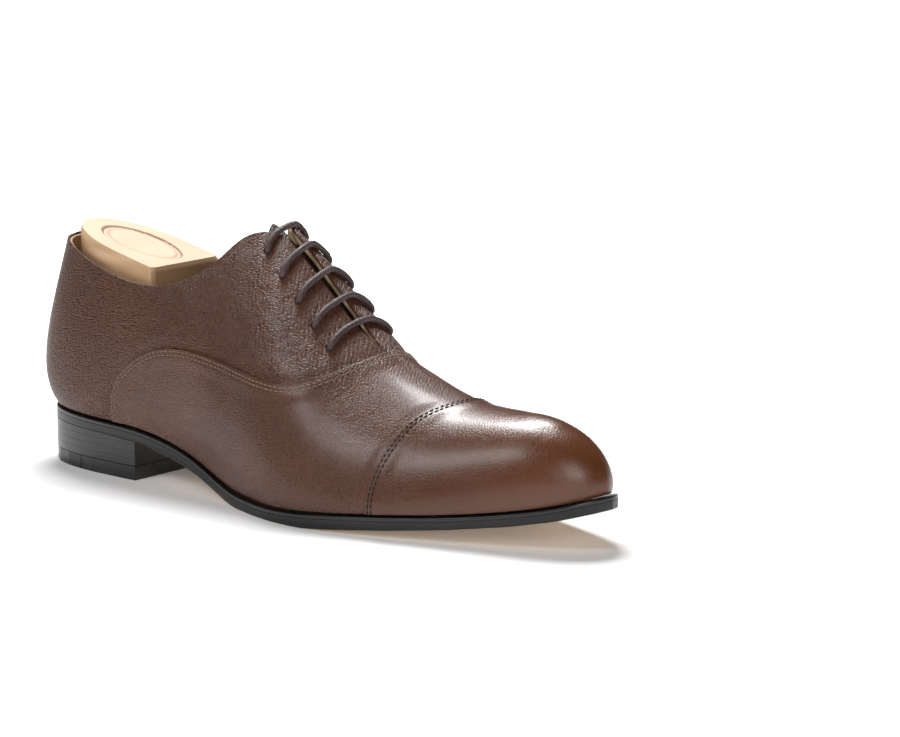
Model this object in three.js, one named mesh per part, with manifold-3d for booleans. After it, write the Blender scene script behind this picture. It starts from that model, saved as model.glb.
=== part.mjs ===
// Right shoe of a pair of leather oxfords with its two-piece wooden shoe tree.
// Millimetres. +X runs to the toe, +Y to the inner (medial) side, +Z up.
// The origin is the middle of the heel's tread on the floor, under the heel seat.

import * as THREE from 'three';
import { mergeVertices, mergeGeometries } from 'three/addons/utils/BufferGeometryUtils.js';
import Module from 'manifold-3d';

const wasm = await Module();
wasm.setup();

// ---------------------------------------------------------------- dimensions
const GAP = 0.3;
const HALF_GAP = GAP / 2;

// upper, as depths below the outer skin
const LEATHER = 1.2;
const STIFF_TOP = 1.45;
const STIFF_BOTTOM = 2.25;
const LINING_TOP = 2.5;
const LINING_BOTTOM = 3.2;
const TONGUE_TOP = 7;
const TONGUE_BOTTOM = 8.2;

// lacing
const LACE_RADIUS = 1.2;
const LACE_OVER = 1.9;
const LACE_UNDER = 5.0;
const LACE_SIDES = 5;
const LACE_STEPS = 170;
const AGLET_RADIUS = 1.5;
const AGLET_LENGTH = 12;
const HOLE_RADIUS = 1.9;
const EYELET_BORE = 1.95;
const EYELET_BARREL = 2.35;
const EYELET_FLANGE = 3.1;

// bottom
const WELT_DEPTH = 2.2;
const WELT_CLEAR = 0.55;
const HEEL_BREAST_X = 34.5;
const TOP_PIECE_Z = 6;
const LIFT = 2.9;
const NAIL_RADIUS = 0.9;

// shoe tree
const PIVOT = new THREE.Vector3(166, 0, 42);
const ARM_RADIUS = 5.5;
const ROD_RADIUS = 4;
const BORE_RADIUS = 4.4;
const ARM_FREE_X = 92;
const ROD_END_X = 110;
const BORE_END_X = 142;
const BLOCK_FRONT_X = 36;
const BLOCK_BACK_X = -23.5;
const BLOCK_FLOOR_Z = 28.5;

// ------------------------------------------------------- outer skin stations
// Each row is one section from the feather edge up to the top edge:
// fan angle, feather x y (lateral, medial), top edge x y z (lateral, medial),
// fullness (out, up, crown, shoulder) lateral and medial.
const STATIONS = [
  [0, -31, 0, -31, 0, -27.5, 0, 99.6, -27.5, 0, 99.6, 12, 14, 8, 32, 12, 14, 8, 32],
  [38, -27, -16.5, -27, 15.5, -25.2, -11.5, 98.9, -25.2, 11.5, 98.9, 12, 14, 7.5, 32, 11.5, 14, 7.5, 32],
  [66, -12, -27, -12, 25.5, -11, -20.5, 95.2, -11, 20.5, 95.8, 8.5, 16, 7.5, 28, 8.5, 16, 7.5, 28],
  [84, 12, -30.8, 12, 29.3, 12, -25.5, 89, 12, 25.5, 90.2, 5, 18, 7, 24, 5, 18, 7, 24],
  [90, 40, -31.5, 40, 29, 39, -26.8, 85.8, 39, 27.2, 87.2, 4.5, 20, 7, 20, 6, 22, 8, 20],
  [90, 66, -32, 64, 25.5, 60, -24.6, 90.8, 60, 24.6, 92.3, 7, 22, 8, 18, 11, 24, 9, 18],
  [90, 84, -35, 83, 25, 75, -20, 101, 75, 20.5, 102.4, 10, 22, 9, 16, 15, 26, 9, 16],
  [90, 99, -39.5, 99, 27.3, 86, -13.5, 111, 86, 14, 112.4, 12, 22, 9, 14, 16, 26, 9, 14],
  [90, 110, -43.2, 111, 30.2, 95, -5.4, 111.4, 95, 4.2, 112.8, 11.5, 21, 17, 5, 15, 26, 16, 5],
  [90, 122, -46.8, 124, 33.8, 107, -4, 103.6, 107, 2.2, 104.2, 9, 19, 24, 2, 11, 24, 21, 2],
  [90, 135, -49.2, 138, 36.9, 123, -3.4, 89, 123, 1.8, 89.4, 6, 16, 29, 0.8, 7, 19, 25, 0.8],
  [90, 145, -49.5, 149, 38.4, 137.5, -2.8, 76, 137.5, 1.6, 76.2, 4.2, 13.4, 32, 0.4, 4.4, 16, 27, 0.4],
  [90, 154, -48.6, 160, 38.5, 150, -0.4, 67.4, 150, -0.4, 67.4, 3.5, 12.5, 33, 0.1, 3.5, 14, 27, 0.1],
  [90, 166, -46.2, 172, 37.2, 162, 0.4, 61.2, 162, 0.4, 61.2, 2.8, 12, 32, 0, 2.8, 13, 27, 0],
  [90, 181, -42.1, 187, 34.4, 179, 0.4, 54.8, 179, 0.4, 54.8, 2.5, 12, 30, 0, 2.5, 13, 26, 0],
  [90, 200, -36, 205, 30.2, 199, 0.4, 50.7, 199, 0.4, 50.7, 2.5, 12.5, 27, 0, 2.5, 13, 24, 0],
  [92, 220, -28.7, 223, 25.2, 220, 0.4, 50.2, 220, 0.4, 50.2, 2.5, 13, 23, 0, 2.5, 13, 21, 0],
  [110, 240, -20.8, 241, 19.4, 232, 0.4, 49.8, 232, 0.4, 49.8, 3, 12.5, 20, 0.6, 3, 12.5, 19, 0.6],
  [138, 255.6, -11.8, 256, 13, 235, 0.8, 49.4, 235, 0.8, 49.4, 3.5, 11.5, 19, 1.5, 3.5, 11.5, 18, 1.5],
  [160, 262.6, -4.4, 262.8, 7.4, 235, 0.8, 49.4, 235, 0.8, 49.4, 3.8, 11, 19, 2, 3.8, 11, 19, 2],
  [180, 264.8, 1.8, 264.8, 1.8, 235, 0.8, 49.4, 235, 0.8, 49.4, 4, 11, 19, 2.2, 4, 11, 19, 2.2],
];
const LAST = STATIONS.length - 1;
const CORNER_STATION = 8;
const SLIT_END_STATION = 12;
const POLE_STATION = 18;
const SKIN_V = 6;
// sections taken halfway between two stations as well, where the skin turns fastest
const EXTRA_SECTIONS = [0.5, 1.5, 7.5, 8.5, 16.5, 17.5, 18.5];
const SECTIONS = [...STATIONS.keys(), ...EXTRA_SECTIONS].sort((a, b) => a - b);

// height of the top of the welt, and of the outsole's underside, along x
const FEATHER_Z = [
  [-34, 25.4], [-10, 24.6], [15, 23.8], [38, 22.4], [60, 17.8], [72, 14], [85, 9.6], [98, 6.6],
  [110, 5.8], [135, 5.9], [160, 7.4], [185, 9.1], [210, 11.4], [235, 14.9], [252, 18.3], [270, 23.4],
];
const TREAD_Z = [
  [-34, 19.3], [15, 18.2], [38, 16.9], [60, 11.9], [72, 8.2], [85, 4], [94, 1.4], [102, 0],
  [148, 0], [160, 0.9], [185, 3.1], [210, 5.6], [235, 9.1], [252, 12.3], [270, 17.1],
];
// how far the sole's edge stands out beyond the feather edge, per station
const SOLE_MARGIN = [
  1, 1, 1, 1, 1, 1.1, 1.4, 1.7, 1.9, 2, 2, 2, 2, 2, 2, 2, 2.1, 2.3, 2.6, 2.8, 2.9,
];
// side view of the seam between the quarters and the winged vamp, x z
const WING_SEAM = [
  [153.5, 90], [152.6, 67], [151.2, 65.6], [148.3, 63.4], [143.8, 60.4], [137.2, 57], [129.7, 55.4],
  [115.6, 56.1], [95.4, 58.4], [76.9, 61], [59.4, 61.4], [46.3, 59], [34.4, 52.9], [25.5, 44.5],
  [20.8, 33.4], [20, 24], [20, 5],
];
// plan of the toe-cap seam, x y
const CAP_SEAM = [
  [174.5, -60], [176.2, -43.4], [179.6, -34], [184.4, -21], [188.3, -13], [191.6, -4], [192.4, 2],
  [191.6, 9], [189.6, 20], [187, 29], [183.6, 35.4], [181, 60],
];
// lace holes: place along the skin and up the section, lateral and medial, top to bottom
const HOLES = [
  [96, 0.86, 94.2, 0.85], [107.6, 0.82, 106.2, 0.8], [118.4, 0.81, 117.2, 0.79],
  [128.4, 0.8, 127.6, 0.78], [137.6, 0.79, 137.4, 0.78],
];

const LOOKS = {
  calf: { color: 0x4a2c22, roughness: 0.42, metalness: 0 },
  lining: { color: 0xb99a72, roughness: 0.8, metalness: 0 },
  stiffener: { color: 0x9c8f78, roughness: 0.9, metalness: 0 },
  lace: { color: 0x43363a, roughness: 0.7, metalness: 0 },
  edge: { color: 0x121110, roughness: 0.35, metalness: 0 },
  sole: { color: 0xa9825a, roughness: 0.6, metalness: 0 },
  cork: { color: 0x8a6440, roughness: 1, metalness: 0 },
  rubber: { color: 0x1b1b1b, roughness: 0.8, metalness: 0 },
  steel: { color: 0x8f9194, roughness: 0.35, metalness: 1 },
  brass: { color: 0xb08d4a, roughness: 0.35, metalness: 1 },
  wood: { color: 0xd9bf97, roughness: 0.6, metalness: 0 },
};

// ------------------------------------------------------------------- splines
// natural cubic spline through rows of values, as a function of the knot parameter
function naturalSpline(knots, rows) {
  const n = knots.length;
  const width = rows[0].length;
  const h = knots.slice(1).map((k, i) => k - knots[i]);
  const second = rows.map(() => new Array(width).fill(0));
  for (let c = 0; c < width; c += 1) {
    const diagonal = new Array(n).fill(1);
    const right = new Array(n).fill(0);
    const upper = new Array(n).fill(0);
    for (let i = 1; i < n - 1; i += 1) {
      const slope = (rows[i + 1][c] - rows[i][c]) / h[i] - (rows[i][c] - rows[i - 1][c]) / h[i - 1];
      const lower = h[i - 1];
      const factor = lower / diagonal[i - 1];
      diagonal[i] = 2 * (h[i - 1] + h[i]) - factor * upper[i - 1];
      upper[i] = h[i];
      right[i] = 6 * slope - factor * right[i - 1];
    }
    for (let i = n - 2; i > 0; i -= 1) {
      second[i][c] = (right[i] - upper[i] * second[i + 1][c]) / diagonal[i];
    }
  }
  return (t) => {
    const x = Math.min(Math.max(t, knots[0]), knots[n - 1]);
    let k = 0;
    while (k < n - 2 && x >= knots[k + 1]) {
      k += 1;
    }
    const a = (knots[k + 1] - x) / h[k];
    const b = 1 - a;
    const wa = ((a ** 3 - a) * h[k] ** 2) / 6;
    const wb = ((b ** 3 - b) * h[k] ** 2) / 6;
    return rows[k].map((v, c) => a * v + b * rows[k + 1][c] + wa * second[k][c] + wb * second[k + 1][c]);
  };
}

function heightTable(table) {
  const spline = naturalSpline(table.map((p) => p[0]), table.map((p) => [p[1]]));
  return (x) => spline(x)[0];
}

const featherZ = heightTable(FEATHER_Z);

// straight between its points, so that the tread under the ball is truly flat
function treadZ(x) {
  const at = Math.min(Math.max(x, TREAD_Z[0][0]), TREAD_Z[TREAD_Z.length - 1][0]);
  let k = 0;
  while (k < TREAD_Z.length - 2 && at > TREAD_Z[k + 1][0]) {
    k += 1;
  }
  const [x0, z0] = TREAD_Z[k];
  const [x1, z1] = TREAD_Z[k + 1];
  return z0 + ((at - x0) / (x1 - x0)) * (z1 - z0);
}

// -------------------------------------------------------------- the outer skin
function runLengths(points) {
  const sums = [0];
  for (let i = 1; i < points.length; i += 1) {
    const step = Math.hypot(...points[i].map((v, k) => v - points[i - 1][k]));
    sums.push(sums[i - 1] + step);
  }
  return sums.map((v) => v / sums[sums.length - 1]);
}

function stationKnots() {
  const columns = [[1, 2], [3, 4], [5, 6, 7], [8, 9, 10]];
  const runs = columns.map((cols) => runLengths(STATIONS.map((row) => cols.map((c) => row[c]))));
  return STATIONS.map((_, i) => runs.reduce((sum, run) => sum + run[i] / runs.length, 0));
}

const KNOTS = stationKnots();

function makeSide(sign, feather, top, full) {
  const columns = [0, ...feather, ...top, ...full];
  return { sign, spline: naturalSpline(KNOTS, STATIONS.map((row) => columns.map((c) => row[c]))) };
}

const LATERAL = makeSide(-1, [1, 2], [5, 6, 7], [11, 12, 13, 14]);
const MEDIAL = makeSide(1, [3, 4], [8, 9, 10], [15, 16, 17, 18]);

function skinPoint(side, s, v) {
  const [fan, fx, fy, tx, ty, tz, out, rise, crown, shoulder] = side.spline(s);
  const angle = THREE.MathUtils.degToRad(fan);
  const away = new THREE.Vector3(-Math.cos(angle), side.sign * Math.sin(angle), 0);
  const foot = new THREE.Vector3(fx, fy, featherZ(fx));
  const head = new THREE.Vector3(tx, ty, tz);
  // the last sections all run up to one point on top of the toe
  const toPole = (s - KNOTS[POLE_STATION - 1]) / (KNOTS[POLE_STATION] - KNOTS[POLE_STATION - 1]);
  if (toPole > 0) {
    const [before, pole] = [POLE_STATION - 1, POLE_STATION].map((k) => STATIONS[k].slice(5, 8));
    head.fromArray(before).lerp(new THREE.Vector3(...pole), Math.min(toPole, 1));
  }
  const low = foot.clone().addScaledVector(away, out);
  low.z += rise;
  const high = head.clone().addScaledVector(away, crown);
  high.z -= shoulder;
  return new THREE.CubicBezierCurve3(foot, low, high, head).getPoint(v);
}

function rawNormal(side, s, v) {
  const e = 0.002;
  const at = (ds, dv) => skinPoint(
    side,
    THREE.MathUtils.clamp(s + ds, 0, 1),
    THREE.MathUtils.clamp(v + dv, 0, 1),
  );
  const along = at(e, 0).sub(at(-e, 0));
  const up = at(0, e).sub(at(0, -e));
  return along.cross(up).multiplyScalar(-side.sign).normalize();
}

// outward normal, shared by both sides wherever they meet
function skinNormal(side, s, v) {
  const inward = Math.min(s, KNOTS[POLE_STATION - 1] + 0.012);
  const at = v > 0.999 ? inward : s;
  const lowered = Math.min(v, 0.985);
  const normal = rawNormal(side, at, lowered);
  const closed = v > 0.999 && s > KNOTS[SLIT_END_STATION] - 1e-6;
  if (closed || s < 1e-6 || s > 1 - 1e-6) {
    const other = side === LATERAL ? MEDIAL : LATERAL;
    normal.add(rawNormal(other, at, lowered));
    if (!closed || s > KNOTS[SLIT_END_STATION] + 1e-6) {
      normal.y = 0;
    }
  }
  return normal.normalize();
}

function skinAt(side, s, v, depth) {
  return skinPoint(side, s, v).addScaledVector(skinNormal(side, s, v), -depth);
}

// place along the skin at which the top edge, or failing that the section at v, has this x
function findAlong(side, x, v) {
  let low = 0;
  let high = 1;
  for (let i = 0; i < 40; i += 1) {
    const middle = (low + high) / 2;
    if (skinPoint(side, middle, v).x < x) {
      low = middle;
    } else {
      high = middle;
    }
  }
  return (low + high) / 2;
}

// ------------------------------------------------------------ solids and cuts
function dropSlivers(geometry) {
  const index = geometry.index.array;
  const kept = [];
  for (let i = 0; i < index.length; i += 3) {
    const [a, b, c] = [index[i], index[i + 1], index[i + 2]];
    if (a !== b && b !== c && a !== c) {
      kept.push(a, b, c);
    }
  }
  geometry.setIndex(kept);
  return geometry;
}

function weld(geometry) {
  const plain = geometry.clone();
  plain.deleteAttribute('normal');
  plain.deleteAttribute('uv');
  plain.clearGroups();
  return dropSlivers(mergeVertices(plain, 1e-4));
}

function toSolid(geometry) {
  const welded = weld(geometry);
  const mesh = new wasm.Mesh({
    numProp: 3,
    vertProperties: new Float32Array(welded.attributes.position.array),
    triVerts: new Uint32Array(welded.index.array),
  });
  return new wasm.Manifold(mesh);
}

function toGeometry(solid) {
  const mesh = solid.getMesh();
  const geometry = new THREE.BufferGeometry();
  geometry.setAttribute('position', new THREE.BufferAttribute(new Float32Array(mesh.vertProperties), 3));
  geometry.setIndex(new THREE.BufferAttribute(new Uint32Array(mesh.triVerts), 1));
  return geometry;
}

// a box with nu, nv and nw steps whose corners are carried to map(i, j, k)
function warpBox(nu, nv, nw, map) {
  const box = new THREE.BoxGeometry(1, 1, 1, nu, nv, nw);
  const position = box.attributes.position;
  for (let i = 0; i < position.count; i += 1) {
    const u = Math.round((position.getX(i) + 0.5) * nu);
    const v = Math.round((position.getY(i) + 0.5) * nv);
    const w = Math.round((position.getZ(i) + 0.5) * nw);
    const point = map(u, v, w);
    position.setXYZ(i, point.x, point.y, point.z);
  }
  return toSolid(box);
}

function prism(points, height) {
  const shape = new THREE.Shape(points.map(([a, b]) => new THREE.Vector2(a, b)));
  return new THREE.ExtrudeGeometry(shape, { depth: height, bevelEnabled: false, steps: 1 });
}

// upright prism on a plan outline of x y points
function planPrism(points) {
  return toSolid(prism(points, 240).translate(0, 0, -60));
}

// prism along y on a side view of x z points
function sidePrism(points) {
  return toSolid(prism(points, 200).rotateX(Math.PI / 2).translate(0, 100, 0));
}

function boxSolid(x0, x1, y0, y1, z0, z1) {
  const box = new THREE.BoxGeometry(x1 - x0, y1 - y0, z1 - z0);
  return toSolid(box.translate((x0 + x1) / 2, (y0 + y1) / 2, (z0 + z1) / 2));
}

// cylinder along an axis, from one distance to another past its origin
function pegSolid(origin, axis, radius, from, to, sides) {
  const peg = new THREE.CylinderGeometry(radius, radius, to - from, sides);
  peg.translate(0, (from + to) / 2, 0);
  peg.applyQuaternion(new THREE.Quaternion().setFromUnitVectors(new THREE.Vector3(0, 1, 0), axis));
  return toSolid(peg.translate(origin.x, origin.y, origin.z));
}

// ------------------------------------------------------------- skin as solids
function stationOf(i) {
  const k = Math.min(Math.floor(SECTIONS[i]), LAST - 1);
  return THREE.MathUtils.lerp(KNOTS[k], KNOTS[k + 1], SECTIONS[i] - k);
}

// everything inside the skin at this depth; cutter solids run on above the top
// edge and below the feather edge so that they open both
function skinBody(depth, cutter = false) {
  const raise = cutter ? 14 : 0;
  const sink = cutter ? 9 : 0;
  return warpBox(SECTIONS.length - 1, SKIN_V + 2, 1, (i, j, k) => {
    const side = k === 1 ? LATERAL : MEDIAL;
    const s = stationOf(i);
    const row = THREE.MathUtils.clamp(j - 1, 0, SKIN_V);
    const point = skinAt(side, s, row / SKIN_V, depth);
    const open = s < KNOTS[SLIT_END_STATION] - 1e-6;
    if (cutter && row === SKIN_V && open && s > KNOTS[CORNER_STATION] - 1e-6) {
      point.y += side.sign * 0.35;
    }
    if (j === 0) {
      point.z -= sink;
    }
    if (j === SKIN_V + 2 && open) {
      point.z += raise;
    }
    return point;
  });
}

function layer(top, bottom) {
  return skinBody(top).subtract(skinBody(bottom, true));
}

// ------------------------------------------------------------------ the upper
function wingRegion(shift) {
  const seam = WING_SEAM.map(([x, z]) => [x - shift, z + shift]);
  return sidePrism([...seam, [320, 5], [320, 90]]);
}

function capRegion(shift) {
  const seam = CAP_SEAM.map(([x, y]) => [x + shift, y]);
  return planPrism([...seam, [320, 60], [320, -60]]);
}

const MIDLINE = -0.9;

function lateralHalf() {
  return boxSolid(-80, 320, -100, MIDLINE, -20, 160);
}

function medialHalf() {
  return boxSolid(-80, 320, MIDLINE, 100, -20, 160);
}

function lacePegs(radius, to = 4) {
  const pegs = [];
  for (const hole of eyeletPlaces()) {
    pegs.push(pegSolid(hole.point, hole.normal, radius, -7, to, 8));
  }
  return pegs.reduce((all, peg) => all.add(peg));
}

function eyeletPlaces() {
  const places = [];
  for (const [latX, latV, medX, medV] of HOLES) {
    for (const [side, x, v] of [[LATERAL, latX, latV], [MEDIAL, medX, medV]]) {
      const s = findAlong(side, x, v);
      places.push({ side, s, v, point: skinPoint(side, s, v), normal: skinNormal(side, s, v) });
    }
  }
  return places;
}

function upperLeathers() {
  const shell = layer(0, LEATHER);
  const strapX = 4;
  const strap = boxSolid(-60, strapX, -5.5, 5.5, -20, 130);
  const strapRoom = boxSolid(-60, strapX + GAP, -5.5 - GAP, 5.5 + GAP, -20, 130);
  const behindCap = shell.subtract(capRegion(-HALF_GAP));
  const pierced = lacePegs(HOLE_RADIUS + 0.2).add(lacePegs(EYELET_FLANGE + 0.35, -STIFF_TOP));
  const quarters = shell.subtract(wingRegion(GAP)).subtract(strapRoom).subtract(pierced);
  return {
    toe_cap: shell.intersect(capRegion(HALF_GAP)),
    vamp: behindCap.intersect(wingRegion(0)),
    quarter_lateral: quarters.intersect(lateralHalf()),
    quarter_medial: quarters.intersect(medialHalf()),
    back_strap: shell.intersect(strap).subtract(wingRegion(GAP)),
  };
}

function stiffeners() {
  const shell = layer(STIFF_TOP, STIFF_BOTTOM);
  const facing = sidePrism([
    [84, 99], [98, 92], [108, 82], [118, 72], [129, 63], [147, 58], [149.5, 80], [104, 130], [84, 130],
  ]).subtract(lacePegs(EYELET_FLANGE + 0.35));
  const counter = sidePrism([[-60, 0], [44, 0], [38, 34], [22, 52], [0, 62], [-60, 66]]);
  const puff = planPrism([[206, -60], [212, 0], [206, 60], [320, 60], [320, -60]]);
  return {
    toe_puff: shell.intersect(puff),
    heel_counter: shell.intersect(counter),
    facing_stay_lateral: shell.intersect(facing).intersect(lateralHalf()),
    facing_stay_medial: shell.intersect(facing).intersect(medialHalf()),
  };
}

function linings() {
  const shell = layer(LINING_TOP, LINING_BOTTOM).subtract(lacePegs(EYELET_BARREL + 0.45));
  const rear = boxSolid(-80, 8, -80, 80, -20, 160);
  const front = boxSolid(142 + GAP, 320, -80, 80, -20, 160);
  const middle = boxSolid(8 + GAP, 142, -80, 80, -20, 160);
  return {
    heel_grip: shell.intersect(rear),
    quarter_lining_lateral: shell.intersect(middle).intersect(lateralHalf()),
    quarter_lining_medial: shell.intersect(middle).intersect(medialHalf()),
    vamp_lining: shell.intersect(front),
  };
}

// the tongue lies under the facings, from its seam at the throat to a rounded tip
function tongue() {
  const across = 9;
  const rows = 8;
  const tipRows = 4;
  const base = findAlong(LATERAL, 160, 1);
  const top = KNOTS[CORNER_STATION] + 0.006;
  const rowPoint = (row, column, depth) => {
    const s = THREE.MathUtils.lerp(base, top, row / rows);
    const side = column < 5 ? LATERAL : MEDIAL;
    const step = (column < 5 ? column : across - column) / 4;
    const low = THREE.MathUtils.lerp(0.86, 0.8, row / rows);
    return skinAt(side, s, THREE.MathUtils.lerp(low, 1, step), depth);
  };
  const narrowing = [1, 0.96, 0.88, 0.72, 0.42];
  const reach = [0, 3, 5.5, 8, 9.5];
  return warpBox(rows + tipRows, 1, across, (i, j, k) => {
    const depth = j === 0 ? TONGUE_BOTTOM : TONGUE_TOP;
    const point = rowPoint(Math.min(i, rows), k, depth);
    const past = Math.max(i - rows, 0);
    point.y = MIDLINE + (point.y - MIDLINE) * narrowing[past];
    point.x -= 0.76 * reach[past];
    point.z += 0.62 * reach[past];
    return point;
  });
}

// ------------------------------------------------------------------ the lacing
function eyelets() {
  const rings = {};
  const names = ['lateral', 'medial'];
  eyeletPlaces().forEach((hole, i) => {
    const profile = [
      [EYELET_BORE, -3.4], [EYELET_BARREL, -3.4], [EYELET_BARREL, -2.1], [EYELET_FLANGE, -2.1],
      [EYELET_FLANGE, -1.8], [EYELET_BORE, -1.8], [EYELET_BORE, -3.4],
    ];
    const ring = new THREE.LatheGeometry(profile.map(([r, y]) => new THREE.Vector2(r, y)), 8);
    const turn = new THREE.Quaternion().setFromUnitVectors(new THREE.Vector3(0, 1, 0), hole.normal);
    ring.applyQuaternion(turn).translate(hole.point.x, hole.point.y, hole.point.z);
    rings[`eyelet_${names[i % 2]}_${Math.floor(i / 2) + 1}`] = toSolid(ring);
  });
  return rings;
}

// route of the lace: five straight bars, joined by hidden runs under the facings
function laceRoute() {
  const holes = eyeletPlaces();
  const points = [];
  const at = (hole, depth) => hole.point.clone().addScaledVector(hole.normal, -depth);
  const towards = (hole, target, distance, depth) => {
    const way = target.clone().sub(hole.point);
    way.addScaledVector(hole.normal, -way.dot(hole.normal)).normalize();
    return at(hole, depth).addScaledVector(way, distance);
  };
  const inside = (side, s, v) => skinAt(side, s, v, 5.8);
  const first = holes[0];
  const startS = first.s + 0.012;
  for (const v of [0.52, 0.6, 0.68]) {
    points.push(inside(LATERAL, startS, v));
  }
  points.push(towards(first, inside(LATERAL, startS, 0.7), 2.2, LACE_UNDER));
  for (let row = 0; row < HOLES.length; row += 1) {
    const pair = [holes[2 * row], holes[2 * row + 1]];
    const [enter, leave] = row % 2 === 0 ? pair : [pair[1], pair[0]];
    const enterTop = skinPoint(enter.side, enter.s, 1);
    const leaveTop = skinPoint(leave.side, leave.s, 1);
    const crest = enterTop.clone().add(leaveTop).multiplyScalar(0.5);
    const crown = skinNormal(enter.side, enter.s, 0.95).add(skinNormal(leave.side, leave.s, 0.95)).normalize();
    points.push(at(enter, 3), at(enter, 1.5), at(enter, 0));
    points.push(towards(enter, leave.point, 2, -LACE_OVER));
    points.push(skinAt(enter.side, enter.s, (enter.v + 1) / 2, -LACE_OVER));
    points.push(crest.addScaledVector(crown, LACE_OVER + 0.4));
    points.push(skinAt(leave.side, leave.s, (leave.v + 1) / 2, -LACE_OVER));
    points.push(towards(leave, enter.point, 2, -LACE_OVER));
    points.push(at(leave, 0), at(leave, 1.5), at(leave, 3));
    if (row < HOLES.length - 1) {
      const next = holes[2 * (row + 1) + (leave.side === LATERAL ? 0 : 1)];
      points.push(towards(leave, next.point, 2.2, LACE_UNDER));
      points.push(towards(next, leave.point, 2.2, LACE_UNDER));
    } else {
      points.push(towards(leave, inside(leave.side, leave.s - 0.03, 0.68), 2.2, LACE_UNDER));
      for (const step of [0.03, 0.055, 0.08, 0.105]) {
        points.push(inside(leave.side, leave.s - step, 0.68));
      }
    }
  }
  return new THREE.CatmullRomCurve3(points, false, 'centripetal');
}

function sectionShape(radius, sides) {
  const corners = [];
  for (let i = 0; i < sides; i += 1) {
    const angle = (2 * Math.PI * i) / sides;
    corners.push(new THREE.Vector2(radius * Math.cos(angle), radius * Math.sin(angle)));
  }
  return new THREE.Shape(corners);
}

function lacing() {
  const route = laceRoute();
  const settings = { steps: LACE_STEPS, bevelEnabled: false, extrudePath: route };
  const lace = new THREE.ExtrudeGeometry(sectionShape(LACE_RADIUS, LACE_SIDES), settings);
  const back = route.getTangent(0).negate();
  const on = route.getTangent(1);
  return {
    shoelace: toSolid(lace),
    aglet_1: pegSolid(route.getPoint(0), back, AGLET_RADIUS, GAP, AGLET_LENGTH, 8),
    aglet_2: pegSolid(route.getPoint(1), on, AGLET_RADIUS, GAP, AGLET_LENGTH, 8),
  };
}

// --------------------------------------------------------- plates of the bottom
// plan outline at a station, moved out from the feather edge by an offset
function outline(side, s, offset) {
  const e = 0.004;
  const near = side.spline(Math.max(s - e, 0));
  const far = side.spline(Math.min(s + e, 1));
  const here = side.spline(s);
  const along = new THREE.Vector2(far[1] - near[1], far[2] - near[2]).normalize();
  const out = new THREE.Vector2(along.y, -along.x).multiplyScalar(-side.sign);
  if (s < 1e-6 || s > 1 - 1e-6) {
    out.set(s < 0.5 ? -1 : 1, 0);
  }
  return new THREE.Vector2(here[1], here[2]).addScaledVector(out, offset);
}

const soleMargin = naturalSpline(KNOTS, SOLE_MARGIN.map((m) => [m]));

// solid plate over the plan outline, between two heights that are functions of x
function plate(offset, topOf, bottomOf, sTo = 1) {
  const steps = sTo < 1 ? 12 : 24;
  return warpBox(steps, 1, 2, (i, j, k) => {
    const t = i / steps;
    const eased = sTo < 1 ? sTo * t : (t + 0.5 - 0.5 * Math.cos(Math.PI * t)) / 2;
    const s = Math.min(eased, 1);
    const margin = offset(s);
    const lateral = outline(LATERAL, s, margin);
    const medial = outline(MEDIAL, s, margin);
    const plan = lateral.clone().lerp(medial, 1 - k / 2);
    return new THREE.Vector3(plan.x, plan.y, (j === 1 ? topOf : bottomOf)(plan.x));
  });
}

function bottomParts() {
  const edge = (s) => soleMargin(s)[0];
  const weltTop = (x) => featherZ(x) - WELT_CLEAR;
  const weltBottom = (x) => featherZ(x) - WELT_DEPTH;
  const ring = plate(edge, weltTop, weltBottom);
  const core = plate(() => -8, (x) => featherZ(x) + 6, (x) => featherZ(x) - 6);
  const frame = ring.subtract(core);
  const filler = plate(() => -8 - GAP, weltTop, weltBottom);
  const forward = boxSolid(96, 320, -90, 90, -20, 80);
  const joint = 44;
  const shankRoom = boxSolid(0, 96 - GAP, -6.5, 6.5, -20, 80);
  return {
    welt: frame.intersect(boxSolid(joint + HALF_GAP, 320, -90, 90, -20, 80)),
    heel_rand: frame.intersect(boxSolid(-80, joint - HALF_GAP, -90, 90, -20, 80)),
    cork_filler: filler.intersect(forward),
    shank: filler.intersect(shankRoom),
    outsole: plate(edge, (x) => weltBottom(x) - GAP, treadZ),
    insole: plate(() => -5, (x) => featherZ(x) + 2, featherZ),
    sock_liner: plate(() => -5.2, (x) => featherZ(x) + 3.1, (x) => featherZ(x) + 2 + GAP),
  };
}

// ------------------------------------------------------------------- the heel
function heelSlab(bottomOf, topOf) {
  const slab = plate((s) => soleMargin(s)[0], topOf, bottomOf, findAlong(LATERAL, 60, 0));
  return slab.intersect(boxSolid(-80, HEEL_BREAST_X, -90, 90, -20, 80));
}

function nailPlaces() {
  const places = [];
  for (const [x, y] of [[22, -21], [22, 19], [27, -1], [10, -23], [10, 21]]) {
    places.push(new THREE.Vector3(x, y, 0));
  }
  return places;
}

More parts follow.
